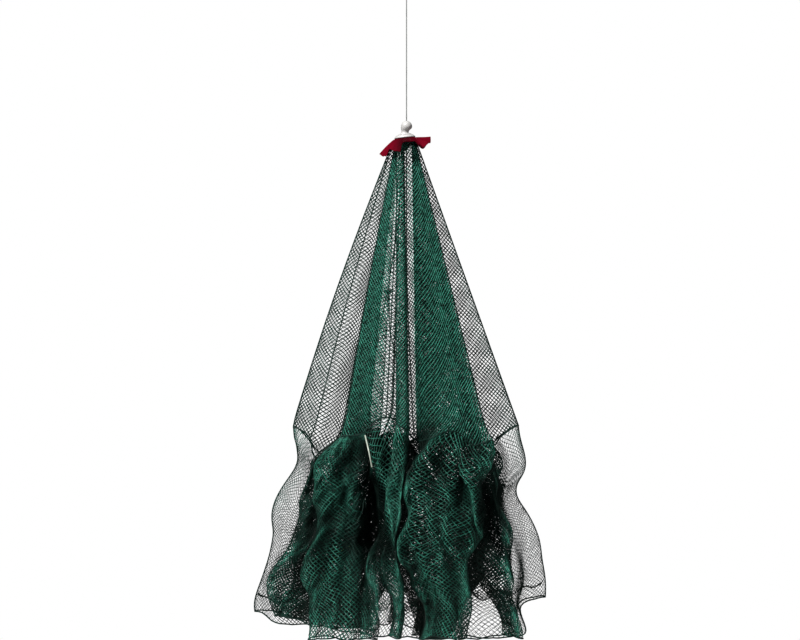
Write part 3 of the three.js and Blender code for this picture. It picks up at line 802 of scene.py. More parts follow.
    def column(self, name: str) -> int:
        """The column of the smoothed rings at the middle of a fold.

        Args:
            name: the fold's name.

        Returns:
            The column's number.
        """
        parts = self.leg_parts()
        at = 0
        for fold in FOLDS:
            count = 1 if fold.span == 0 else 3
            if fold.name == name:
                return int(parts[:at].sum() + (parts[at] if count == 3 else 0))
            at += count
        raise KeyError(name)

    def swayed(self, points: np.ndarray) -> np.ndarray:
        """Points moved with the wall's slow waves and dents.

        Args:
            points: the points.

        Returns:
            The moved points.
        """
        x, y, z = points[..., 0], points[..., 1], points[..., 2]
        full = eased_step((z - self.sway_top) / (self.sway_full - self.sway_top))
        moved = points.copy()
        height, per_z, per_y, start = self.sway_x
        moved[..., 0] += full * height * np.sin(z * per_z + y * per_y + start)
        height, per_x, per_z, start = self.sway_y
        moved[..., 1] += full * height * np.sin(x * per_x + z * per_z + start)
        for dent in self.dents:
            away = ((x - dent.x) ** 2 + (z - dent.z) ** 2) / dent.reach**2
            moved[..., 0] += dent.shift * np.exp(-away)
        return moved

    def plain_wall(self, t: float) -> np.ndarray:
        """The wall's ring at t from 0 at the seam to 1 at the hem, before it sways.

        Args:
            t: how far down it is.

        Returns:
            The smoothed ring.
        """
        a, b, c = self.seam(), self.waist(), self.hem()
        s = t * (1 + self.hurry * (1 - t**4))
        ring = (1 - s) * (1 - 2 * s) * a + 4 * s * (1 - s) * b + s * (2 * s - 1) * c
        ring[:, 2] = a[:, 2] + (c[:, 2] - a[:, 2]) * t - (1 - t) * self.seam_gap
        return self.smoothed(ring)

    def wall(self, rows: int = 72) -> np.ndarray:
        """The wall's rings as they hang, rows x columns x 3."""
        rings = np.stack([self.plain_wall(t) for t in np.linspace(0, 1, rows)])
        return self.drape.hung(self.swayed(rings))

    def canopy(self, rows: int = 36, tuck_rows: int = 3) -> np.ndarray:
        """The canopy's rings from the gathered end down to the seam.

        Args:
            rows: rings from neck to seam.
            tuck_rows: rings above the neck.

        Returns:
            Rows x columns x 3.
        """
        tuck, neck, seam = self.tuck(), self.neck(), self.seam()
        rings = [tuck + (neck - tuck) * k / tuck_rows for k in range(tuck_rows)]
        for t in np.linspace(0, 1, rows):
            ring = neck + (seam - neck) * t
            left = np.clip(ring[:, 0] / ring[:, 0].min(), 0, 1) ** 2
            ring[:, 0] -= self.canopy_bulge * math.sin(math.pi * t) * left
            rings.append(ring)
        return self.drape.hung(self.swayed(np.stack([self.smoothed(ring) for ring in rings])))


class Outside:
    """How sheltered a place is among the folds, and how many nets lie there, for the shade painted
    on the twine. Millimetres.
    """

    step: float = 3.0  # the spacing of the maps
    margin: int = 3  # their empty border, in steps
    empty: float = 1000.0  # the depth where there is no net
    steep: float = 2.6  # how fast a net shelters what is close behind it
    broad: float = 1.0  # how fast a fold shelters the nets beside it
    skin: float = 1.5  # the outermost net's own unevenness
    behind: float = 7.0  # the depth behind a net at which little light is left
    fade: float = 20.0  # the same behind a fold
    few: float = 1.8  # this many nets or fewer behind one another hang thin, and their twine is painted darker
    many: float = 4.2  # and this many or more are painted palest
    level: float = 0.9  # the light on a fold as high as those around it
    proud: float = 26.0  # the height over them that adds 1 to it
    dim: float = 0.55  # the least it comes to
    bright: float = 1.05  # and the most
    blur: int = 50  # passes that even the maps out to the height of the folds around
    count_blur: int = 5  # passes that even out the count of nets

    def __init__(self, grids: Sequence[np.ndarray]) -> None:
        """Finds the front and the back of the folds of those rows x columns of points.

        Args:
            grids: the nets that shelter one another.
        """
        points = np.concatenate([grid.reshape(-1, 3) for grid in grids])
        flat = points[:, [0, 2]]
        self.low = flat.min(axis=0) - self.margin * self.step
        shape = np.ceil((flat.max(axis=0) - self.low) / self.step).astype(int) + self.margin
        cells = tuple(np.round((flat - self.low) / self.step).astype(int).T)
        self.maps = [self.count(grids, shape)]
        for side in (1.0, -1.0):
            depth = np.full(shape, self.empty)
            np.minimum.at(depth, cells, side * points[:, 1])
            for slope in (self.steep, self.broad):
                for view in (depth, depth[::-1], depth.T, depth.T[::-1]):
                    for before, after in zip(view, view[1:]):
                        np.minimum(after, before + slope * self.step, out=after)
                self.maps.append(depth.copy())
            self.maps.append(self.evened(depth, self.blur))

    @staticmethod
    def evened(values: np.ndarray, passes: int) -> np.ndarray:
        """A map after each place has taken the mean of its neighbours so many times.

        Args:
            values: the map, which is changed.
            passes: how many times.

        Returns:
            The map.
        """
        for _ in range(passes):
            beside = values[2:, 1:-1] + values[:-2, 1:-1] + values[1:-1, 2:] + values[1:-1, :-2]
            values[1:-1, 1:-1] = (beside + values[1:-1, 1:-1]) / 5
        return values

    def count(self, grids: Sequence[np.ndarray], shape: np.ndarray) -> np.ndarray:
        """How many nets lie behind one another, as a map of that shape.

        Args:
            grids: the nets.
            shape: of the map.

        Returns:
            The map.
        """
        found = np.zeros(shape)
        for grid in grids:
            ring = np.concatenate([grid, grid[:, :1]], axis=1)[..., [0, 2]]
            first, second = ring[1:, 1:] - ring[:-1, :-1], ring[1:, :-1] - ring[:-1, 1:]
            area = np.abs(first[..., 0] * second[..., 1] - first[..., 1] * second[..., 0]) / 2
            middle = (ring[1:, 1:] + ring[:-1, :-1]) / 2
            cells = np.round((middle - self.low) / self.step).astype(int)
            np.add.at(found, (cells[..., 0], cells[..., 1]), area / self.step**2)
        return self.evened(found, self.count_blur)

    def light(self, points: np.ndarray) -> tuple[np.ndarray, np.ndarray]:
        """How much light the twine gets, and how many nets lie there.

        Args:
            points: the places.

        Returns:
            About 1 on the outermost net and near 0 between the folds, and 1 where many nets
            lie behind one another and 0 where few do.
        """
        place = np.clip((points[:, [0, 2]] - self.low) / self.step, 0, None)
        cell = np.minimum(place.astype(int), np.array(self.maps[0].shape) - 2)
        a, b = (place - cell).T
        i, j = cell.T
        nets, steep, broad, around, back_steep, back_broad, back_around = (
            each[i, j] * (1 - a) * (1 - b)
            + each[i + 1, j] * a * (1 - b)
            + each[i, j + 1] * (1 - a) * b
            + each[i + 1, j + 1] * a * b
            for each in self.maps
        )
        y = points[:, 1]
        rear = -y - back_broad < y - broad
        behind = np.clip(np.where(rear, -y - back_steep, y - steep) - self.skin, 0, None)
        deep = np.clip(np.where(rear, -y - back_broad, y - broad) - self.skin, 0, None)
        relief = np.where(rear, back_around + y, around - y)
        relief = np.clip(self.level + relief / self.proud, self.dim, self.bright)
        light = relief * np.exp(-behind / self.behind - deep / self.fade)
        return light, eased_step((nets - self.few) / (self.many - self.few))


# ------------ mesh helpers


def coords(mesh: Mesh) -> np.ndarray:
    """A mesh's vertices as an array.

    Args:
        mesh: the mesh.

    Returns:
        Rows of x, y and z.
    """
    flat = np.empty(len(mesh.vertices) * 3)
    mesh.vertices.foreach_get("co", flat)
    return flat.reshape(-1, 3)


def set_coords(mesh: Mesh, points: np.ndarray) -> None:
    """Moves a mesh's vertices."""
    mesh.vertices.foreach_set("co", np.ascontiguousarray(points, dtype=np.float32).ravel())
    mesh.update()


def mesh_from(bm: bmesh.types.BMesh, name: str) -> Mesh:
    """Writes a bmesh to a new mesh and frees it.

    Args:
        bm: the bmesh, which is used up.
        name: of the mesh.

    Returns:
        The mesh.
    """
    mesh = bpy.data.meshes.new(name)
    bm.to_mesh(mesh)
    bm.free()
    return mesh


def piece_from(mesh: Mesh, name: str, finish: Finish) -> Piece:
    """Puts a mesh in the scene as a smooth piece in one finish.

    Args:
        mesh: its mesh.
        name: of the piece.
        finish: its finish.

    Returns:
        The piece.
    """
    mesh.materials.clear()
    mesh.materials.append(finish.material())
    mesh.shade_smooth()
    piece = bpy.data.objects.new(name, mesh)
    bpy.context.collection.objects.link(piece)
    return piece


def settle(piece: Piece) -> None:
    """Applies a piece's modifiers to its mesh.

    Args:
        piece: the piece, which keeps its place in the scene.
    """
    graph = bpy.context.evaluated_depsgraph_get()
    made = bpy.data.meshes.new_from_object(piece.evaluated_get(graph))
    old = piece.data
    piece.modifiers.clear()
    piece.data = made
    bpy.data.meshes.remove(old)


def ring_mesh(name: str, grid: np.ndarray) -> Mesh:
    """A ring of cloth, with the UV map "weave".

    Args:
        name: of the mesh.
        grid: rows x columns x 3; its last column lies next to its first.

    Returns:
        The mesh.
    """
    rows, columns = grid.shape[:2]
    bm = bmesh.new()
    bm.loops.layers.uv.new("weave")
    bmesh.ops.create_grid(bm, x_segments=columns, y_segments=rows - 1, size=0.5, calc_uvs=True)
    for vert in bm.verts:
        r = round((0.5 - vert.co.y) * (rows - 1))
        c = round((vert.co.x + 0.5) * columns)
        vert.co = grid[r, c % columns]
    bmesh.ops.remove_doubles(bm, verts=bm.verts, dist=SAME)
    bmesh.ops.recalc_face_normals(bm, faces=bm.faces)
    return mesh_from(bm, name)


def turned_mesh(name: str, profile: Sequence[Pair], steps: int) -> Mesh:
    """A solid spun about Z from (radius, height) points whose ends lie on the axis.

    Args:
        name: of the mesh.
        profile: the points in order.
        steps: in the whole turn.

    Returns:
        The mesh.
    """
    bm = bmesh.new()
    verts = [bm.verts.new((radius, 0.0, height)) for radius, height in profile]
    edges = [bm.edges.new(pair) for pair in zip(verts, verts[1:])]
    bmesh.ops.spin(
        bm,
        geom=verts + edges,
        cent=(0, 0, 0),
        axis=(0, 0, 1),
        angle=math.tau,
        steps=steps,
        use_merge=True,
    )
    bmesh.ops.remove_doubles(bm, verts=bm.verts, dist=SAME)
    bmesh.ops.recalc_face_normals(bm, faces=bm.faces)
    return mesh_from(bm, name)


def tube_mesh(
    name: str, routes: Iterable[np.ndarray], radius: float, sides: int = 6, closed: bool = False
) -> Mesh:
    """Round tubes along routes of points, joined in one mesh.

    Args:
        name: of the mesh.
        routes: the middle line of each tube.
        radius: of the tubes.
        sides: round each tube, about.
        closed: whether each route is a ring.

    Returns:
        The mesh.
    """
    curve = bpy.data.curves.new(name, "CURVE")
    curve.dimensions = "3D"
    curve.bevel_depth = radius
    curve.bevel_resolution = max(0, (sides - 4) // 2)
    curve.use_fill_caps = not closed
    for route in routes:
        spline = curve.splines.new("POLY")
        spline.points.add(len(route) - 1)
        spline.points.foreach_set("co", np.c_[route, np.ones(len(route))].ravel())
        spline.use_cyclic_u = closed
        spline.use_smooth = True
    holder = bpy.data.objects.new(name, curve)
    mesh = bpy.data.meshes.new_from_object(holder)
    bpy.data.objects.remove(holder)
    bpy.data.curves.remove(curve)
    mesh.name = name
    return mesh


def eased(points: Sequence[Point] | np.ndarray, steps: int) -> np.ndarray:
    """A smooth open route of that many steps through points.

    Args:
        points: the points.
        steps: how many steps of one length it has.

    Returns:
        The steps' ends.
    """
    given = np.array(points, float)
    ends = (2 * given[:1] - given[1:2], 2 * given[-1:] - given[-2:-1])
    p = np.concatenate([ends[0], given, ends[1]])
    drawn = []
    per_leg = 24
    for i in range(1, len(p) - 2):
        t = np.linspace(0, 1, per_leg, endpoint=False)[:, None]
        a, b, c, d = p[i - 1 : i + 3]
        drawn.append(
            0.5
            * (
                2 * b
                + (c - a) * t
                + (2 * a - 5 * b + 4 * c - d) * t**2
                + (3 * b - a - 3 * c + d) * t**3
            )
        )
    line = np.concatenate([*drawn, given[-1:]])
    along = np.concatenate([[0], np.cumsum(np.linalg.norm(np.diff(line, axis=0), axis=1))])
    at = np.linspace(0, along[-1], steps + 1)
    return np.stack([np.interp(at, along, line[:, k]) for k in range(3)], axis=1)


def length_of(route: np.ndarray) -> float:
    """The length of a route."""
    return float(np.linalg.norm(np.diff(route, axis=0), axis=1).sum())


def laid_strands(
    route: np.ndarray, diameter: float, strands: int, pitch: float, per_turn: int
) -> list[np.ndarray]:
    """The centre lines of the strands that are twisted into a cord along a route.

    Args:
        route: the cord's centre line.
        diameter: the cord's own diameter.
        strands: how many are twisted together.
        pitch: the length of one whole twist.
        per_turn: points for each twist.

    Returns:
        One route for each strand.
    """
    total = length_of(route)
    steps = max(8, int(total / pitch * per_turn))
    along = np.concatenate([[0], np.cumsum(np.linalg.norm(np.diff(route, axis=0), axis=1))])
    at = np.linspace(0, total, steps + 1)
    line = np.stack([np.interp(at, along, route[:, k]) for k in range(3)], axis=1)
    ahead = np.gradient(line, axis=0)
    ahead /= np.linalg.norm(ahead, axis=1)[:, None]
    side = np.empty_like(line)
    last = np.array([0.0, 1.0, 0.0]) if abs(ahead[0][1]) < 0.9 else np.array([1.0, 0.0, 0.0])
    for i, axis in enumerate(ahead):
        last = last - axis * last.dot(axis)
        last /= np.linalg.norm(last)
        side[i] = last
    other = np.cross(ahead, side)
    out = diameter / 2 - strand_radius(diameter, strands)
    routes = []
    for k in range(strands):
        turn = (math.tau * (at / pitch + k / strands))[:, None]
        routes.append(line + out * (side * np.cos(turn) + other * np.sin(turn)))
    return routes


def strand_radius(diameter: float, strands: int, pressed: float = 1.25) -> float:
    """The radius of each strand of a cord.

    Args:
        diameter: the cord's own diameter.
        strands: how many are twisted together.
        pressed: how much thicker they are than strands that only touch.

    Returns:
        The radius.
    """
    reach = math.sin(math.pi / strands)
    return pressed * diameter / 2 * reach / (1 + reach)


def laid_cord(
    name: str, finish: Finish, route: np.ndarray, diameter: float, pitch: float, per_turn: int = 8
) -> Piece:
    """A piece of cord, its strands twisted together.

    Args:
        name: the piece's name.
        finish: its finish.
        route: its centre line.
        diameter: its own diameter.
        pitch: the length of one whole twist.
        per_turn: points for each twist.

    Returns:
        The piece.
    """
    strands = laid_strands(route, diameter, STRANDS, pitch, per_turn)
    return piece_from(tube_mesh(name, strands, strand_radius(diameter, STRANDS)), name, finish)


# ------------ nets


@dataclass(frozen=True)
class Twine:
    """The net's twine and diamonds, in metres."""

    bar: float = 0.0043  # between two knots
    lean: float = math.radians(43)  # of the bars from the net's length
    heavy: float = 0.00076  # the twine of one direction is laid heavier than the other's
    light: float = 0.00037
    sides: int = 3
    lift: float = 0.00022  # the two directions of twine lie this far either side of the net
    dull: float = 0.7  # painted shade: the lighter twine is painted this much darker, as it catches less light
    thin: float = 0.15  # painted shade: where few nets lie the twine keeps only this share of its paleness
    drawn: float = 1.03  # its thickness there, as a share of that in the folds


class Strander:
    """Turns a net's lines into twine with Geometry Nodes."""

    def __init__(self, radius: float, sides: int) -> None:
        """Builds the node group for twine of that radius.

        Args:
            radius: of the twine.
            sides: round it.
        """
        self.group = bpy.data.node_groups.new("twine_round_lines", "GeometryNodeTree")
        face = self.group.interface
        face.new_socket(name="Geometry", in_out="INPUT", socket_type="NodeSocketGeometry")
        face.new_socket(name="Geometry", in_out="OUTPUT", socket_type="NodeSocketGeometry")
        add, link = self.group.nodes.new, self.group.links.new
        start, end = add("NodeGroupInput"), add("NodeGroupOutput")
        lines, ring, tube = (
            add("GeometryNodeMeshToCurve"),
            add("GeometryNodeCurvePrimitiveCircle"),
            add("GeometryNodeCurveToMesh"),
        )
        ring.inputs["Resolution"].default_value = sides
        ring.inputs["Radius"].default_value = radius
        tube.inputs["Fill Caps"].default_value = False
        link(start.outputs[0], lines.inputs["Mesh"])
        link(lines.outputs["Curve"], tube.inputs["Curve"])
        link(ring.outputs["Curve"], tube.inputs["Profile Curve"])
        girth = add("GeometryNodeInputNamedAttribute")
        girth.inputs["Name"].default_value = "girth"
        link(girth.outputs["Attribute"], tube.inputs["Scale"])
        link(tube.outputs["Mesh"], end.inputs[0])

    def twisted(self, lines: Mesh) -> Mesh:
        """Makes lines into twine. The lines are used up.

        Args:
            lines: the middle lines, with the attribute girth.

        Returns:
            The twine.
        """
        holder = bpy.data.objects.new("twisting", lines)
        bpy.context.collection.objects.link(holder)
        holder.modifiers.new("twine", "NODES").node_group = self.group
        settle(holder)
        made = holder.data
        bpy.data.objects.remove(holder)
        return made


class Hung:
    """A net's surface as it hangs, read at u across and v down, both from 0 to 1."""

    def __init__(self, grid: np.ndarray, even: bool) -> None:
        """Keeps rows x columns of points; an even one reads u as a share of each row's length.

        Args:
            grid: the points.
            even: whether u is even along each row.
        """
        self.grid = grid
        steps = np.linalg.norm(np.diff(grid, axis=1), axis=2)
        self.lengths = steps.sum(axis=1)
        along = np.concatenate([np.zeros((len(grid), 1)), np.cumsum(steps, axis=1)], axis=1)
        plain = np.linspace(0, 1, grid.shape[1])
        self.shares = [row / row[-1] if even else plain for row in along]

    def at(self, u: np.ndarray, v: np.ndarray) -> np.ndarray:
        """Points of the surface.

        Args:
            u: how far across.
            v: how far down.

        Returns:
            The points.
        """
        rows = len(self.grid)
        place = np.clip(v, 0, 1) * (rows - 1)
        low = np.clip(place.astype(int), 0, rows - 2)
        part = (place - low)[:, None]
        found = np.empty((len(u), 3))
        for r in np.unique(low):
            mine = low == r
            upper, lower = self.row(r, u[mine]), self.row(r + 1, u[mine])
            found[mine] = upper + (lower - upper) * part[mine]
        return found

    def row(self, row: int, u: np.ndarray) -> np.ndarray:
        """Points of one row."""
        share, points = self.shares[row], self.grid[row]
        return np.stack([np.interp(u, share, points[:, axis]) for axis in range(3)], axis=1)

    def facing(self, u: np.ndarray, v: np.ndarray, step: float = 0.004) -> np.ndarray:
        """Unit normals of the surface.

        Args:
            u: how far across.
            v: how far down.
            step: how far to either side it is measured.

        Returns:
            The normals.
        """
        across = self.at(np.minimum(u + step, 1), v) - self.at(np.maximum(u - step, 0), v)
        down = self.at(u, np.minimum(v + step, 1)) - self.at(u, np.maximum(v - step, 0))
        normal = np.cross(across, down)
        return normal / np.maximum(np.linalg.norm(normal, axis=1), 1e-12)[:, None]


class Net:
    """Cuts diamonds of twine flat, hangs them, and joins the cuts of one piece."""

    side_on: float = 0.5  # painted shade: how much darker the twine is painted where the net faces sideways
    stride: float = 1.5  # bars between two points of a twine
    taut_share: int = 25  # the per cent of a gathered net's width that carries its weight
    widest: float = 0.93  # how far a diamond opens, as a share of two bars
    bands: int = 9  # rows of the flat sheet on which a gore is cut
    stray: float = 1.6  # bars from that sheet at which twine is left out

    def __init__(self, twine: Twine, outside: Outside) -> None:
        """Keeps the twine, its two makers and what tells outer nets from inner ones.

        Args:
            twine: the twine.
            outside: what tells outer nets from inner ones.
        """
        self.twine, self.outside = twine, outside
        self.heavy = Strander(twine.heavy, twine.sides)
        self.light = Strander(twine.light, twine.sides)

    def lines(self, width: float, height: float, cell: Pair, slant: int) -> Mesh:
        """Lines of one direction of twine over a flat rectangle from (0, 0) to (width, -height).

        Args:
            width: of the rectangle, in metres.
            height: of the rectangle.
            cell: width and height of a diamond.
            slant: 0 for one direction of twine and 1 for the other.

        Returns:
            A mesh of lines, cut at the rectangle's edges.
        """
        reach = math.ceil((width / cell[0] + height / cell[1]) / 2) + 2
        parts = [2 * reach, 2 * reach]
        parts[slant] = round(2 * reach / self.stride)
        bm = bmesh.new()
        bmesh.ops.create_grid(bm, x_segments=parts[0], y_segments=parts[1], size=reach)
        lay = Matrix(
            (
                (cell[0] / 2, -cell[0] / 2, 0, width / 2),
                (cell[1] / 2, cell[1] / 2, 0, -height / 2),
                (0, 0, 1, 0),
                (0, 0, 0, 1),
            )
        )
        across = [e for e in bm.edges if abs(e.verts[0].co[slant] - e.verts[1].co[slant]) < 0.5]
        bmesh.ops.delete(bm, geom=across, context="EDGES_FACES")
        bmesh.ops.transform(bm, matrix=lay, verts=bm.verts)
        self.cut(bm, (0, width), (-height, 0))
        return mesh_from(bm, "lines")

    @staticmethod
    def cut(bm: bmesh.types.BMesh, xs: Pair, ys: Pair) -> None:
        """Cuts lines off outside a rectangle.

        Args:
            bm: the lines.
            xs: the rectangle's sides.
            ys: its ends.
        """
        for place, outward in (
            ((xs[0], 0, 0), (-1, 0, 0)),
            ((xs[1], 0, 0), (1, 0, 0)),
            ((0, ys[0], 0), (0, -1, 0)),
            ((0, ys[1], 0), (0, 1, 0)),
        ):
            bmesh.ops.bisect_plane(
                bm,
                geom=bm.verts[:] + bm.edges[:],
                dist=1e-7,
                plane_co=place,
                plane_no=outward,
                clear_outer=True,
            )

    def cell(self) -> Pair:
        """Width and height of an open diamond."""
        bar, lean = self.twine.bar, self.twine.lean
        return 2 * bar * math.sin(lean), 2 * bar * math.cos(lean)

    def hang(
        self, lines: Mesh, hung: Hung, u: np.ndarray, v: np.ndarray, slant: int, heavy: int
    ) -> Mesh:
        """Moves lines onto a hanging surface and twists them.

        Args:
            lines: one direction of twine.
            hung: the surface.
            u: where each point of the lines lies across it.
            v: where it lies down it.
            slant: which direction of twine this is; each lies on its own side of the net.
            heavy: which direction is the heavier one.

        Returns:
            The twine.
        """
        twine = self.twine
        lift = twine.lift * (1 if slant else -1)
        points, facing = hung.at(u, v), hung.facing(u, v)
        # painted shade: the light among the folds, less where the net faces sideways, where few
        # nets lie and on the lighter twine, goes into the attribute outward that darkens the twine
        light, thick = self.outside.light(points / MM)
        light *= 1 - self.side_on * (1 - np.abs(facing[:, 1]))
        share = light * (twine.thin + (1 - twine.thin) * thick)
        share *= 1.0 if slant == heavy else twine.dull
        girth = twine.drawn + (1 - twine.drawn) * thick
        set_coords(lines, points + lift * facing)
        for name, values in (("outward", share), ("girth", girth)):
            lines.attributes.new(name, "FLOAT", "POINT").data.foreach_set(
                "value", np.ascontiguousarray(values, dtype=np.float32)
            )
        return (self.heavy if slant == heavy else self.light).twisted(lines)

    def gathered(
        self, hung: Hung, cells: int, heavy: int = 1, ends: Pair = (0.0, 1.0)
    ) -> tuple[list[Mesh], Pair]:
        """Hangs a rectangular cut whose diamonds open and close as the net is gathered.

        Args:
            hung: the surface.
            cells: how many diamonds lie across it, in every row.
            heavy: the direction of the heavier twine.
            ends: the part of the surface's width that is made.

        Returns:
            The twine, and the whole flat cut's width and height.
        """
        side = 2 * self.twine.bar
        wide = np.minimum(hung.lengths / cells, self.widest * side)
        tall = np.sqrt(side**2 - wide**2)
        drops = np.linalg.norm(np.diff(hung.grid, axis=0), axis=2)
        drops = np.percentile(drops, self.taut_share, axis=1)
        rows = np.concatenate([[0], np.cumsum(drops / ((tall[1:] + tall[:-1]) / 2))])
        cell = self.cell()
        width, height = cells * cell[0], float(rows[-1]) * cell[1]
        made = []
        for slant in (0, 1):
            lines = self.lines(width, height, cell, slant)
            if ends != (0.0, 1.0):
                bm = bmesh.new()
                bm.from_mesh(lines)
                self.cut(bm, (ends[0] * width, ends[1] * width), (-height, 0))
                bm.to_mesh(lines)
                bm.free()
            flat = coords(lines)
            v = np.interp(-flat[:, 1] / height, rows / rows[-1], np.linspace(0, 1, len(rows)))
            made.append(self.hang(lines, hung, flat[:, 0] / width, v, slant, heavy))
        return made, (width, height)

    def gore(self, hung: Hung, heavy: int) -> tuple[list[Mesh], float]:
        """Hangs a gore: the surface is unrolled flat, and its diamonds stay as they were cut.

        Args:
            hung: the surface, straight from its first row to its last.
            heavy: the direction of the heavier twine.

        Returns:
            The twine, and the gore's flat area.
        """
        upper, lower = self.unrolled(hung.grid[0], hung.grid[-1])
        low = np.minimum(upper.min(0), lower.min(0)) - self.twine.bar
        high = np.maximum(upper.max(0), lower.max(0)) + self.twine.bar
        columns, rows = len(upper), self.bands
        downs = np.linspace(0, 1, rows)
        flat = upper[None] + (lower - upper)[None] * downs[:, None, None]
        shares = np.stack(np.broadcast_arrays(np.linspace(0, 1, columns)[None], downs[:, None]), -1)
        corners = [Vector((*p, 0)) for p in flat.reshape(-1, 2)]
        places = [Vector((*p, 0)) for p in shares.reshape(-1, 2)]
        faces = []
        for r in range(rows - 1):
            for c in range(columns - 1):
                a = r * columns + c
                faces += [(a, a + columns, a + 1), (a + 1, a + columns, a + columns + 1)]
        tree = BVHTree.FromPolygons(corners, faces)
        size = high - low
        made = []
        for slant in (0, 1):
            lines = self.lines(size[0], size[1], self.cell(), slant)
            bm = bmesh.new()
            bm.from_mesh(lines)
            far = []
            for vert in bm.verts:
                spot = Vector((vert.co.x + low[0], vert.co.y + high[1], 0))
                near, _, index, away = tree.find_nearest(spot)
                if near is None or away > self.stray * self.twine.bar:
                    far.append(vert)
                    continue
                face = faces[index]
                vert.co = barycentric_transform(
                    spot, *(corners[k] for k in face), *(places[k] for k in face)
                )
            bmesh.ops.delete(bm, geom=far, context="VERTS")
            self.cut(bm, (0, 1), (0, 1))
            bm.to_mesh(lines)
            bm.free()
            share = coords(lines)
            made.append(self.hang(lines, hung, share[:, 0], share[:, 1], slant, heavy))
        edge = np.concatenate([upper, lower[::-1]])
        x, y = edge[:, 0], edge[:, 1]
        area = abs(float((x * np.roll(y, -1) - y * np.roll(x, -1)).sum())) / 2
        return made, area

    @staticmethod
    def unrolled(upper: np.ndarray, lower: np.ndarray) -> tuple[np.ndarray, np.ndarray]:
        """Lays a strip of straight threads flat, its middle thread upright.

        Args:
            upper: the threads' upper ends.
            lower: their lower ends.

        Returns:
            The flat places of both.
        """

        def beside(a: complex, b: complex, from_a: float, from_b: float) -> complex:
            """The point at those distances from a and b, to the left of a towards b.

            Args:
                a: one point.
                b: the other.
                from_a: the distance from a.
                from_b: the distance from b.

            Returns:
                The point.
            """
            base = abs(b - a)
            along = (base**2 + from_a**2 - from_b**2) / (2 * base)
            out = math.sqrt(max(0.0, from_a**2 - along**2))
            return a + (b - a) / base * complex(along, out)

        def apart(p: np.ndarray, q: np.ndarray) -> float:
            """The distance of two points."""
            return float(np.linalg.norm(p - q))

        tops, feet = [0j], [complex(0, -apart(upper[0], lower[0]))]
        for c in range(len(upper) - 1):
            reach = apart(upper[c], lower[c + 1]), apart(lower[c], lower[c + 1])
            foot = beside(tops[-1], feet[-1], *reach)
            reach = apart(upper[c], upper[c + 1]), apart(lower[c + 1], upper[c + 1])
            tops.append(beside(tops[-1], foot, *reach))
            feet.append(foot)
        ends = np.array(tops), np.array(feet)
        middle = (feet[0] + feet[-1]) / 2 - (tops[0] + tops[-1]) / 2
        turn = -1j / (middle / abs(middle))
        return tuple(np.c_[(row * turn).real, (row * turn).imag] for row in ends)

    @staticmethod
    def piece(name: str, cuts: Iterable[Mesh]) -> Piece:
        """Joins cuts into one piece.

        Args:
            name: of the piece.
            cuts: its twine, which is used up.

        Returns:
            The piece.
        """
        bm = bmesh.new()
        for twine in cuts:
            bm.from_mesh(twine)
            bpy.data.meshes.remove(twine)
        return piece_from(mesh_from(bm, name), name, Finish.NET)


# ------------ canopy, wall and inner nets


@dataclass(frozen=True)
class Canopy:
    """The pleated canopy, of gores sewn side by side. Millimetres."""

    form: TrapForm
    net: Net
    seam_radius: float = 0.9
    # where each gore begins, and the direction of its heavier twine
    front: tuple[tuple[str, int], ...] = (
        ("corner_left", 1), ("crease_left", 1), ("left_1", 0), ("left_4", 1), ("crown_left", 1),
        ("centre_2", 0), ("centre_3", 0), ("right_1", 1), ("right_4", 0), ("corner_right", 1),
    )
    rear: tuple[tuple[str, int], ...] = (
        ("corner_right", 0), ("rear_2", 0), ("rear_4", 1), ("rear_6", 1), ("corner_left", 1),
    )

    def build(self) -> list[Piece]:
        """Builds the two halves and the dark seams between the gores.

        Returns:
            The pieces.
        """
        grid = self.form.canopy() * MM
        made = []
        for name, gores in (("canopy_front", self.front), ("canopy_rear", self.rear)):
            columns = [self.form.column(fold) for fold, _ in gores]
            cuts, area, width = [], 0.0, 0.0
            for start, end, (_, heavy) in zip(columns, columns[1:], gores):
                end += grid.shape[1] if end <= start else 0
                hung = Hung(grid[:, np.arange(start, end + 1) % grid.shape[1]], even=False)
                lines, flat = self.net.gore(hung, heavy)
                cuts += lines
                area += flat
                width += float(hung.lengths[-1])
            slant = float(np.linalg.norm(grid[-1] - grid[0], axis=1).mean())
            piece = self.net.piece(name, cuts)
            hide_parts("canopy_net")
            made.append(piece)
        made.append(self.seams(grid))
        return made

    def seams(self, grid: np.ndarray) -> Piece:
        """The stitched edges of the gores.

        Args:
            grid: the canopy's points.

        Returns:
            The piece.
        """
        names = dict.fromkeys(name for name, _ in self.front + self.rear)
        routes = [grid[1:, self.form.column(name)] for name in names]
        mesh = tube_mesh("gore_seams", routes, self.seam_radius * MM)
        piece = piece_from(mesh, "gore_seams", Finish.BINDING)
        return piece


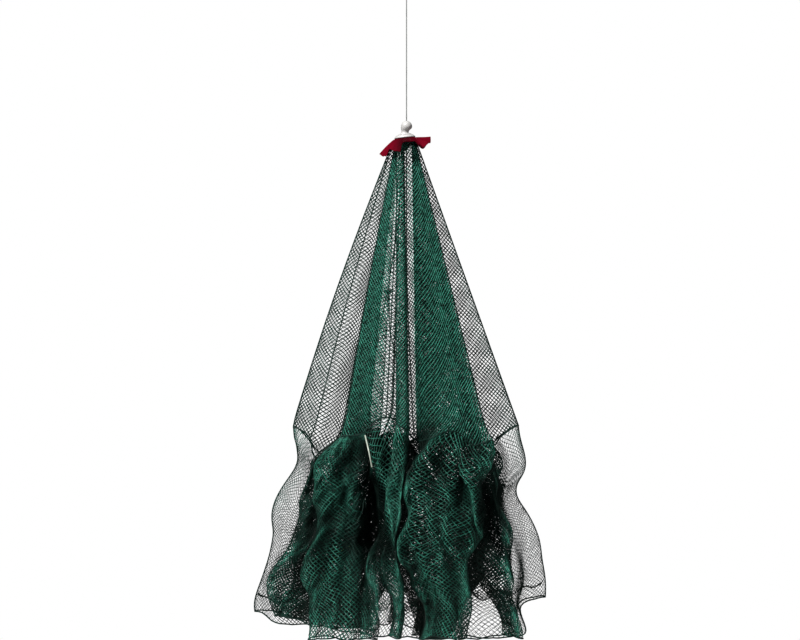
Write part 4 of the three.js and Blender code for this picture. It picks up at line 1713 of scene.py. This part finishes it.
@dataclass(frozen=True)
class Wall:
    """The ruffled wall, in two widths sewn at the corners, with its bindings. Millimetres."""

    form: TrapForm
    net: Net
    open_lean: float = math.radians(47)  # of the bars at the hem
    seam_radius: float = 1.2
    hem_radius: float = 1.1
    corner_radius: float = 0.9

    def build(self) -> list[Piece]:
        """Builds the widths and bindings.

        Returns:
            The pieces.
        """
        grid = self.form.wall() * MM
        left, right = self.form.column("corner_left"), self.form.column("corner_right")
        count = grid.shape[1]
        made = []
        for name, node, start, end, ends in (
            ("wall_front_left", "wall_front", left, right, (0.0, 0.5)),
            ("wall_front_right", "wall_front", left, right, (0.5, 1.0)),
            ("wall_rear_right", "wall_rear", right, left + count, (0.0, 0.5)),
            ("wall_rear_left", "wall_rear", right, left + count, (0.5, 1.0)),
        ):
            hung = Hung(grid[:, np.arange(start, end + 1) % count], even=False)
            widest = 2 * self.net.twine.bar * math.sin(self.open_lean)
            cells = round(float(hung.lengths[-1]) / widest)
            lines, (width, height) = self.net.gathered(hung, cells, 1, ends)
            piece = self.net.piece(name, lines)
            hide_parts(node)
            flat = ((ends[1] - ends[0]) * width, height)
            made.append(piece)
        corners = [grid[:, column] for column in (left, right)]
        canopy_edge = self.form.canopy()[-1] * MM
        seam = (grid[0] + canopy_edge) / 2
        for name, routes, radius, closed in (
            ("seam_binding", [seam], self.seam_radius, True),
            ("hem_binding", [grid[-1]], self.hem_radius, True),
            ("corner_bindings", corners, self.corner_radius, False),
        ):
            mesh = tube_mesh(name, routes, radius * MM, closed=closed)
            piece = piece_from(mesh, name, Finish.BINDING)
            made.append(piece)
        return made


@dataclass(frozen=True)
class Funnel:
    """An entrance funnel: a pleated tube of net. Millimetres."""

    name: str
    top: tuple[float, float, float, float, float]  # x, y, z, half x, half y
    foot: tuple[float, float, float, float, float]
    pleats: int
    pleat_depth: float = 0.22  # as a share of the funnel's half width
    pleat_twist: float = 1.4  # how far the pleats turn from top to foot
    uneven: float = 0.04
    hem_wave: float = 5.0

    def grid(self, form: TrapForm, rows: int = 5, per_pleat: int = 4) -> np.ndarray:
        """Rows x columns of points round the funnel.

        Args:
            form: the trap's form, which sways it.
            rows: from top to foot.
            per_pleat: columns for each pleat.

        Returns:
            The points.
        """
        count = self.pleats * per_pleat
        turn = np.arange(count) * math.tau / count
        rings = []
        for t in np.linspace(0, 1, rows):
            x, y, z, half_x, half_y = (a + (b - a) * t for a, b in zip(self.top, self.foot))
            fold = np.cos(self.pleats * turn + self.pleat_twist * t)
            pleat = 1 - self.pleat_depth * (0.5 + 0.5 * fold)
            loose = 1 + self.uneven * t * np.sin(3 * turn + 5 * t)
            rings.append(
                np.stack(
                    [
                        x + half_x * pleat * loose * np.cos(turn),
                        y + half_y * pleat * np.sin(turn),
                        z + self.hem_wave * t * np.sin(2 * turn + 1),
                    ],
                    axis=1,
                )
            )
        return form.swayed(np.stack(rings))


FUNNELS = (
    Funnel("funnel_left", (-121, 0, -846, 45, 12), (-114, -2, -990, 36, 14), 7),
    Funnel("funnel_right", (112, 1, -822, 50, 10), (126, 0, -962, 40, 16), 6),
    Funnel("funnel_centre", (-16, -2, -762, 30, 30), (-10, 0, -950, 44, 50), 9),
)


@dataclass(frozen=True)
class InnerNets:
    """The funnels and the bottom net. Millimetres."""

    form: TrapForm
    net: Net
    edge_radius: float = 0.8  # of the bindings on the funnels' mouths
    level: float = 0.9  # where the bottom net joins the wall, from 0 at the seam to 1 at the hem
    clear: float = 2.8  # its ends stop this short of the corners
    half_y: float = 25.0
    end_half_y: float = 1.5
    sag: float = 24.0
    edge_rise: float = 6.0
    pleats: int = 11
    pleat_height: float = 9.0
    columns: int = 240
    rows: int = 12

    def build(self) -> list[Piece]:
        """Builds each net and the funnels' mouth bindings.

        Returns:
            The pieces.
        """
        made = []
        for funnel in FUNNELS:
            grid = funnel.grid(self.form, 12, 16) * MM
            grid = np.concatenate([grid, grid[:, :1]], axis=1)
            hung = Hung(grid, even=True)
            lines, flat = self.net.gathered(hung, self.cells(hung))
            piece = self.net.piece(f"{funnel.name}_net", lines)
            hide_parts(funnel.name)
            made.append(piece)
            name = f"{funnel.name}_edges"
            routes = [grid[0, :-1], grid[-1, :-1]]
            mesh = tube_mesh(name, routes, self.edge_radius * MM, closed=True)
            edges = piece_from(mesh, name, Finish.BINDING)
            made.append(edges)
        made.append(self.bottom())
        return made

    def cells(self, hung: Hung) -> int:
        """How many open diamonds fill a net's widest row."""
        return round(float(hung.lengths.max()) / self.net.cell()[0])

    def bottom(self) -> Piece:
        """The bottom net, drawn up in pleats from corner to corner.

        Returns:
            The piece.
        """
        ring = self.form.plain_wall(self.level)
        left = ring[self.form.column("corner_left")]
        right = ring[self.form.column("corner_right")]
        s = np.linspace(0, 1, self.columns)
        arch = np.sin(math.pi * s) ** 0.5
        rows = []
        for v in np.linspace(1, -1, self.rows):
            x = left[0] + self.clear + (right[0] - left[0] - 2 * self.clear) * s
            half = self.end_half_y + (self.half_y - self.end_half_y) * arch
            y = left[1] + (right[1] - left[1]) * s + half * v
            pleat = self.pleat_height * np.sin(self.pleats * math.tau * s + v) * arch
            sag = arch * (self.sag + self.edge_rise * (1 - v * v))
            z = left[2] + (right[2] - left[2]) * s - sag + pleat
            rows.append(np.stack([x, y, z], axis=1))
        grid = self.form.swayed(np.stack(rows)) * MM
        hung = Hung(grid, even=True)
        lines, flat = self.net.gathered(hung, self.cells(hung))
        piece = self.net.piece("bottom_net_twine", lines)
        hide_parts("bottom_net")
        share = float(hung.lengths.mean() / hung.lengths.max())
        share * flat[0] * flat[1]
        return piece


# ------------ line, crown and cords


@dataclass(frozen=True)
class HangingLine:
    """The line with its knot and loop. Millimetres."""

    form: TrapForm
    diameter: float = 2.0
    twist: float = 7.0
    loop_height: float = 24.0
    loop_width: float = 13.0
    # one side of the loop, as shares of half its width and of its height
    loop_side: tuple[Pair, ...] = (
        (0.2, 0.0), (0.55, 0.28), (0.98, 0.62), (0.86, 0.86),
    )
    knot_height: float = 9.0
    wraps: int = 4
    wrap_radius: float = 2.45
    wrap_slack: float = 0.25  # how unevenly they are drawn tight
    wrap_inset: float = 1.1  # from the knot's two ends
    wrap_share: float = 0.98  # the wraps' thickness as a share of the line's
    legs_apart: float = 0.9  # the loop's ends in the knot, from its middle
    tail: tuple[Point, ...] = ((0.0, 0.0, 0.0), (0.6, -0.5, -0.6), (1.0, -1.0, -1.0))

    def build(self) -> list[Piece]:
        """Builds loop, knot and line.

        Returns:
            The pieces.
        """
        knot_top = self.diameter - self.loop_height
        knot_foot = knot_top - self.knot_height
        loop = self.loop(knot_top)
        knot = self.knot(knot_top, knot_foot)
        top, foot = knot_foot - self.form.gap, self.form.ball_top + self.form.gap
        route = np.stack([np.zeros(24), np.zeros(24), np.linspace(top, foot, 24)], axis=1) * MM
        line = laid_cord("line", Finish.LINE, route, self.diameter * MM, self.twist * MM)
        for piece, node in ((loop, "hang_loop"), (knot, "hang_knot"), (line, "hang_cord")):
            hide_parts(node)
        return [loop, knot, line]

    def loop(self, knot_top: float) -> Piece:
        """The hanging loop.

        Args:
            knot_top: the height of its foot.

        Returns:
            The piece.
        """
        top = self.diameter / 2
        rise = top - knot_top
        half = [(x * self.loop_width / 2, 0.0, knot_top + z * rise) for x, z in self.loop_side]
        points = [(-x, y, z) for x, y, z in half] + [(0.0, 0.0, top)] + half[::-1]
        route = eased(points, 60) * MM
        return laid_cord("loop", Finish.LINE, route, self.diameter * MM, self.twist * MM)

    def knot(self, top: float, foot: float) -> Piece:
        """Wraps of line round the loop's two ends.

        Args:
            top: its upper end.
            foot: its lower end.

        Returns:
            The piece.
        """
        turn = np.linspace(0, math.tau * self.wraps, self.wraps * 16)
        out = self.wrap_radius + self.wrap_slack * np.sin(turn * 0.37)
        rise = np.linspace(top - self.wrap_inset, foot + self.wrap_inset, len(turn))
        wraps = np.stack([out * np.cos(turn), out * np.sin(turn), rise], axis=1)
        core = np.stack([np.zeros(6), np.zeros(6), np.linspace(top, foot, 6)], axis=1)
        legs = [core + (side * self.legs_apart, 0.0, 0.0) for side in (-1, 1)]
        tail = wraps[-1] + np.array(self.tail)
        routes = [route * MM for route in (wraps, *legs, tail)]
        mesh = tube_mesh("knot", routes, self.diameter / 2 * MM * self.wrap_share, 8)
        return piece_from(mesh, "knot", Finish.LINE)


@dataclass(frozen=True)
class Crown:
    """Cap, washer and collar at the top of the net. Millimetres."""

    form: TrapForm
    ball_radius: float = 9.0
    neck_radius: float = 6.0
    # the dimple round the line: how far out, and how high from the ball's top
    dimple: tuple[Pair, ...] = ((0.0, -0.9), (1.15, -0.8), (1.35, -0.35))
    dimple_turn: float = 0.2  # where the ball begins beside it, in radians
    # the cap's foot: how far out from the neck, and how high over the washer
    cap_foot: tuple[Pair, ...] = (
        (0.02, 4.2), (0.25, 3.1), (1.1, 2.2), (2.8, 1.5), (4.4, 1.15), (4.9, 0.7), (5.0, 0.25),
        (4.8, 0.0),
    )
    foot_rim: float = 2.0  # the cap leans wholly with the washer below this height
    washer_radius: float = 13.5  # of its flat top
    # its shoulder and its lower edge: how far out from there, and how far down or up
    washer_shoulder: tuple[Pair, ...] = ((-0.4, 0.0), (0.15, 0.15), (0.6, 0.6))
    washer_edge: tuple[Pair, ...] = (
        (2.9, 1.7), (3.2, 1.2), (3.3, 0.6), (3.25, 0.2), (2.9, 0.0),
    )
    collar_rings: tuple[float, ...] = (7.0, 12.0, 16.0)  # radii of the collar's flat part
    flat_radius: float = 17.0  # where it begins to fall
    cut_radius: float = 45.0  # of the flat cloth
    droop: float = 1.15
    ripple: float = 0.7  # height of the fine waves of the rim
    small_ripple: float = 0.4
    cloth: float = 1.1
    cloth_edge: float = 0.3
    # the rim's turns: where in degrees, how far it falls there and how far out it reaches
    rim: tuple[tuple[float, float, float], ...] = (
        (0, 1, 41), (24, 6, 43), (48, 16, 41), (74, 7, 44), (100, 18, 41), (126, 9, 43),
        (152, 20, 41), (178, 21, 43), (200, 25, 39), (213, 27, 40), (228, 17, 39), (243, 20, 37),
        (253, 22, 35), (264, 9, 41), (288, 8, 43), (302, 13, 39), (316, 19, 37), (336, 12, 42),
    )

    def tilt(self) -> Matrix:
        """Places what is tilted with the crown.

        Returns:
            The transform, from the crown's own axis to the trap.
        """
        form = self.form
        place = Vector((-form.crown_shift, 0, form.ball_top - form.cap_height)) * MM
        return Matrix.Translation(place) @ Matrix.Rotation(-form.crown_tilt, 4, "Y")

    def build(self) -> list[Piece]:
        """Builds the three pieces."""
        return [self.cap(), self.washer(), self.collar()]

    def cap(self) -> Piece:
        """The ball, neck and foot, leaned towards the washer.

        Returns:
            The piece.
        """
        height, ball = self.form.cap_height, self.ball_radius
        neck = math.asin(self.neck_radius / ball)
        profile = list(self.dimple)
        for turn in np.linspace(self.dimple_turn, math.pi - neck, 16):
            profile.append((ball * math.sin(turn), ball * math.cos(turn) - ball))
        profile += [(self.neck_radius + out, up - height) for out, up in self.cap_foot]
        profile += [(0.0, -height)]
        mesh = turned_mesh("cap_ball", profile, 48)
        points = coords(mesh)
        lean = eased_step((-points[:, 2] - ball) / (height - self.foot_rim - ball))
        x = points[:, 0].copy()
        points[:, 0] -= self.form.crown_shift * lean
        points[:, 2] += x * math.tan(self.form.crown_tilt) * lean + self.form.ball_top
        set_coords(mesh, points * MM)
        piece = piece_from(mesh, "cap_ball", Finish.WHITE)
        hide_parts("cap")
        return piece

    def washer(self) -> Piece:
        """The round plate that clamps the collar.

        Returns:
            The piece.
        """
        top = -self.form.gap
        foot = top - self.form.washer_height
        profile = [(0.0, top)]
        profile += [(self.washer_radius + out, top - down) for out, down in self.washer_shoulder]
        profile += [(self.washer_radius + out, foot + up) for out, up in self.washer_edge]
        profile += [(0.0, foot)]
        mesh = turned_mesh("washer_plate", [(r * MM, z * MM) for r, z in profile], 64)
        mesh.transform(self.tilt())
        piece = piece_from(mesh, "washer_plate", Finish.WHITE)
        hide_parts("washer")
        return piece

    def collar(self) -> Piece:
        """The ruffled crimson collar.

        Returns:
            The piece.
        """
        azimuth = np.arange(0.0, 360.0, 2.0)
        turn = np.radians(azimuth)
        fall, reach = self.rim_at(azimuth)
        middle = -2 * self.form.gap - self.form.washer_height - self.form.collar_thickness / 2
        rings = [(radius, np.zeros_like(turn)) for radius in self.collar_rings]
        for share in np.linspace(0, 1, 14)[1:]:
            ripple = self.ripple * share * np.sin(7 * turn + 3 * share)
            ripple += self.small_ripple * share**2 * np.sin(17 * turn)
            radius = self.flat_radius + (reach - self.flat_radius) * share
            rings.append((radius, fall * share**self.droop + ripple))
        grid = [
            np.stack([radius * np.cos(turn), radius * np.sin(turn), middle - drop], axis=1)
            for radius, drop in rings
        ]
        mesh = ring_mesh("collar_cloth", np.stack(grid) * MM)
        mesh.transform(self.tilt())
        piece = piece_from(mesh, "collar_cloth", Finish.RED)
        wall = piece.modifiers.new("thickness", "SOLIDIFY")
        wall.thickness, wall.offset, wall.use_rim = self.cloth * MM, 0, True
        edge = piece.modifiers.new("edge", "BEVEL")
        edge.width, edge.segments, edge.limit_method = self.cloth_edge * MM, 2, "ANGLE"
        settle(piece)
        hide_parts("collar")
        return piece

    def rim_at(self, azimuth: np.ndarray) -> np.ndarray:
        """How far the rim falls and how far out it reaches, each as a row.

        Args:
            azimuth: the directions, in degrees from 0 up to 360.

        Returns:
            Two rows, smooth between the rim's turns.
        """
        table = np.array([*self.rim, (360, *self.rim[0][1:])], float)
        at = np.searchsorted(table[:, 0], azimuth, side="right") - 1
        before, after = table[at], table[at + 1]
        share = eased_step((azimuth - before[:, 0]) / (after[:, 0] - before[:, 0]))
        return (before[:, 1:] + (after[:, 1:] - before[:, 1:]) * share[:, None]).T


@dataclass(frozen=True)
class DrawCords:
    """The draw cords and the knot that joins them. Millimetres."""

    form: TrapForm
    diameter: float = 2.0
    twist: float = 7.0
    knot: Point = (-29.0, -3.0, -509.0)
    knot_half: Point = (7.5, 4.0, 4.6)
    knot_turns: Pair = (1.0, 0.62)  # the two cords' shares of its room
    straight_end: float = 14.0

    def tied_to(self, name: str, column: int) -> list[Point]:
        """The last two points of a cord, which comes straight down on a funnel's rim.

        Args:
            name: of the funnel.
            column: where on its rim.

        Returns:
            The points.
        """
        funnel = next(each for each in FUNNELS if each.name == name)
        x, y, z = funnel.grid(self.form)[0][column]
        return [(x, y, z + self.straight_end), (x, y, z + 2 * self.form.gap)]

    def build(self) -> list[Piece]:
        """Builds the cords and the knot.

        Returns:
            The pieces.
        """
        x, y, z = self.knot
        half, gap, washer = self.knot_half[2], self.form.gap, self.form.washer_underside
        under = z - half - gap
        routes = {
            "main": [(-6, -1, washer - 0.7), (-6, -2, -300), (-14, -3, -400), (-26, -3, -480),
                     (x, y, z + half + gap)],
            "left": [(x - 3, y, under + gap), (-41, -3, -560), (-56, -3, -650), (-66, -2, -740),
                     (-82, -1, -806), *self.tied_to("funnel_left", 2)],
            "centre": [(x + 1.5, y, under), (-27, -6, -566), (-16, -10, -620), (-13, -14, -700),
                       *self.tied_to("funnel_centre", 26)],
            "right": [(0, -1, washer), (0, -3, -340), (1, -6, -500), (7, -8, -640),
                      (13, -6, -738), (34, -2, -790), *self.tied_to("funnel_right", 12)],
        }
        made = [self.knotted()]
        for name, points in routes.items():
            route = eased(points, 40) * MM
            laid = f"draw_cord_{name}_laid"
            piece = laid_cord(laid, Finish.DRAW, route, self.diameter * MM, self.twist * MM, 6)
            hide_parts(f"draw_cord_{name}")
            made.append(piece)
        return made

    def knotted(self) -> Piece:
        """An overhand knot of two cords.

        Returns:
            The piece.
        """
        turn = np.linspace(0, math.tau, 90)
        shape = np.stack(
            [
                np.sin(turn) + 2 * np.sin(2 * turn),
                -np.sin(3 * turn) * 1.5,
                np.cos(turn) - 2 * np.cos(2 * turn),
            ],
            axis=1,
        )
        shape /= np.abs(shape).max(axis=0)
        room = np.array(self.knot_half) - self.diameter / 2
        routes = [(self.knot + shape * room * share) * MM for share in self.knot_turns]
        mesh = tube_mesh("draw_knot_tied", routes, self.diameter / 2 * MM, 8, closed=True)
        piece = piece_from(mesh, "draw_knot_tied", Finish.DRAW)
        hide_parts("draw_knot")
        return piece


@dataclass(frozen=True)
class SmallParts:
    """The pale rod and the yellow-green cord. Millimetres."""

    form: TrapForm
    rod_diameter: float = 2.6
    rod_run: Point = (0.02, 0.085, 0.15)  # its places, from 0 at the seam to 1 at the hem
    rod_side: Point = (-0.5, -0.87, 0.0)  # the side of the flap on which it lies
    cord_diameter: float = 3.0
    cord_twist: float = 9.0
    cord_route: tuple[Point, ...] = (
        (-134, -18, -981), (-131, -17.7, -966), (-127, -17.4, -950), (-121, -17, -934),
        (-113, -16.6, -922), (-100, -16.2, -915), (-84, -15.6, -912),
    )
    net_thickness: float = 1.2

    def build(self) -> list[Piece]:
        """Builds both."""
        return [self.rod(), self.cord()]

    def rod(self) -> Piece:
        """A short rod along the edge of the left flap.

        Returns:
            The piece.
        """
        column = self.form.column("flap_left")
        away = self.net_thickness / 2 + 2 * self.form.gap + self.rod_diameter / 2
        points = [
            self.form.drape.hung(self.form.swayed(self.form.plain_wall(t)))[column]
            + np.array(self.rod_side) * away
            for t in self.rod_run
        ]
        route = eased(points, 24) * MM
        mesh = tube_mesh("pale_rod", [route], self.rod_diameter / 2 * MM, 12)
        piece = piece_from(mesh, "pale_rod", Finish.PALE)
        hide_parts("rod")
        return piece

    def cord(self) -> Piece:
        """The cord that lies on the left funnel's foot.

        Returns:
            The piece.
        """
        route = eased(self.form.swayed(np.array(self.cord_route, float)), 40) * MM
        diameter, twist = self.cord_diameter * MM, self.cord_twist * MM
        piece = laid_cord("funnel_tie", Finish.YELLOW, route, diameter, twist)
        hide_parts("funnel_cord")
        return piece


# ------------ studio


@dataclass(frozen=True)
class Studio:
    """Camera, lights, backdrop and floor. Metres."""

    middle: Point = (-0.0104, 0.0, -0.5536)
    away: float = 4.0
    field: float = 1.28
    floor_z: float = -1.3
    floor_half: float = 1.7
    glow: float = 0.08  # of the world, on the trap
    gamma: float = 0.85
    # name, place, side and watts of each light
    lights: tuple[tuple[str, Point, float, float], ...] = (
        ("key", (-1.3, -1.4, 1.8), 0.4, 190.0),
        ("fill", (1.8, -2.6, 0.2), 1.2, 22.0),
        ("top", (0.3, -0.6, 1.6), 0.8, 10.0),
    )
    aim: Point = (0.0, 0.0, -0.65)

    def build(self) -> None:
        """Sets the scene."""
        scene = bpy.context.scene
        scene.view_settings.view_transform = "Standard"
        scene.view_settings.gamma = self.gamma
        self.camera(scene)
        self.backdrop(scene)
        self.floor()
        for each in self.lights:
            self.light(*each)

    def camera(self, scene: bpy.types.Scene) -> None:
        """A long lens, level with the middle of the view.

        Args:
            scene: the scene.
        """
        data = bpy.data.cameras.new("camera")
        data.sensor_width = 36.0
        data.lens = data.sensor_width * self.away / self.field
        data.clip_end = 50.0
        holder = bpy.data.objects.new("camera", data)
        holder.location = Vector(self.middle) + Vector((0, -self.away, 0))
        holder.rotation_euler = (math.pi / 2, 0, 0)
        bpy.context.collection.objects.link(holder)
        scene.camera = holder

    def backdrop(self, scene: bpy.types.Scene) -> None:
        """A white world that lights the trap more softly than it looks.

        Args:
            scene: the scene.
        """
        world = bpy.data.worlds.new("studio")
        world.use_nodes = True
        nodes, links = world.node_tree.nodes, world.node_tree.links
        nodes.clear()
        output = nodes.new("ShaderNodeOutputWorld")
        seen, soft = nodes.new("ShaderNodeBackground"), nodes.new("ShaderNodeBackground")
        path, mix = nodes.new("ShaderNodeLightPath"), nodes.new("ShaderNodeMixShader")
        seen.inputs["Color"].default_value = (1, 1, 1, 1)
        soft.inputs["Color"].default_value = (1, 1, 1, 1)
        soft.inputs["Strength"].default_value = self.glow
        links.new(path.outputs["Is Camera Ray"], mix.inputs[0])
        links.new(soft.outputs[0], mix.inputs[1])
        links.new(seen.outputs[0], mix.inputs[2])
        links.new(mix.outputs[0], output.inputs["Surface"])
        scene.world = world

    def floor(self) -> None:
        """A plain pale floor below the trap."""
        bm = bmesh.new()
        bmesh.ops.create_grid(bm, x_segments=4, y_segments=4, size=self.floor_half)
        bmesh.ops.translate(bm, vec=(0, 0, self.floor_z), verts=bm.verts)
        mesh = mesh_from(bm, "floor")
        shader = Shader("pale_floor")
        grain = shader.noise(6.0, 3.0)
        shader.set(
            Base_Color=shader.mix(grain, (0.8, 0.8, 0.79), (0.86, 0.86, 0.85)), Roughness=0.85
        )
        mesh.materials.append(shader.material)
        floor = bpy.data.objects.new("floor", mesh)
        bpy.context.collection.objects.link(floor)

    def light(self, name: str, place: Point, size: float, power: float) -> None:
        """A square soft light that faces the trap.

        Args:
            name: of the light.
            place: its middle.
            size: its side.
            power: its power in watts.
        """
        data = bpy.data.lights.new(name, "AREA")
        data.size, data.energy = size, power
        holder = bpy.data.objects.new(name, data)
        holder.location = place
        aim = Vector(self.aim) - Vector(place)
        holder.rotation_euler = aim.to_track_quat("-Z", "Y").to_euler()
        bpy.context.collection.objects.link(holder)


# ------------ assembly


def main() -> None:
    """Builds the trap round the frame and puts it in the studio."""
    logging.basicConfig(level=logging.INFO, format="%(message)s")
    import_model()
    Studio().build()
    form = TrapForm()
    outside = Outside([form.canopy(), form.wall()])
    fine = Net(Twine(), outside)
    coarse = Twine(bar=0.0053, heavy=0.00078, light=0.0006, dull=0.85, thin=0.85, drawn=0.5)
    plain = Net(coarse, outside)
    for part in (
        HangingLine(form),
        DrawCords(form),
        SmallParts(form),
        Crown(form),
        Canopy(form, fine),
        Wall(form, plain),
        InnerNets(form, plain),
    ):
        for piece in part.build():
            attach(piece, ROOT)
            LOG.info("%s: %d faces", piece.name, len(piece.data.polygons))


if __name__ == "__main__":
    main()
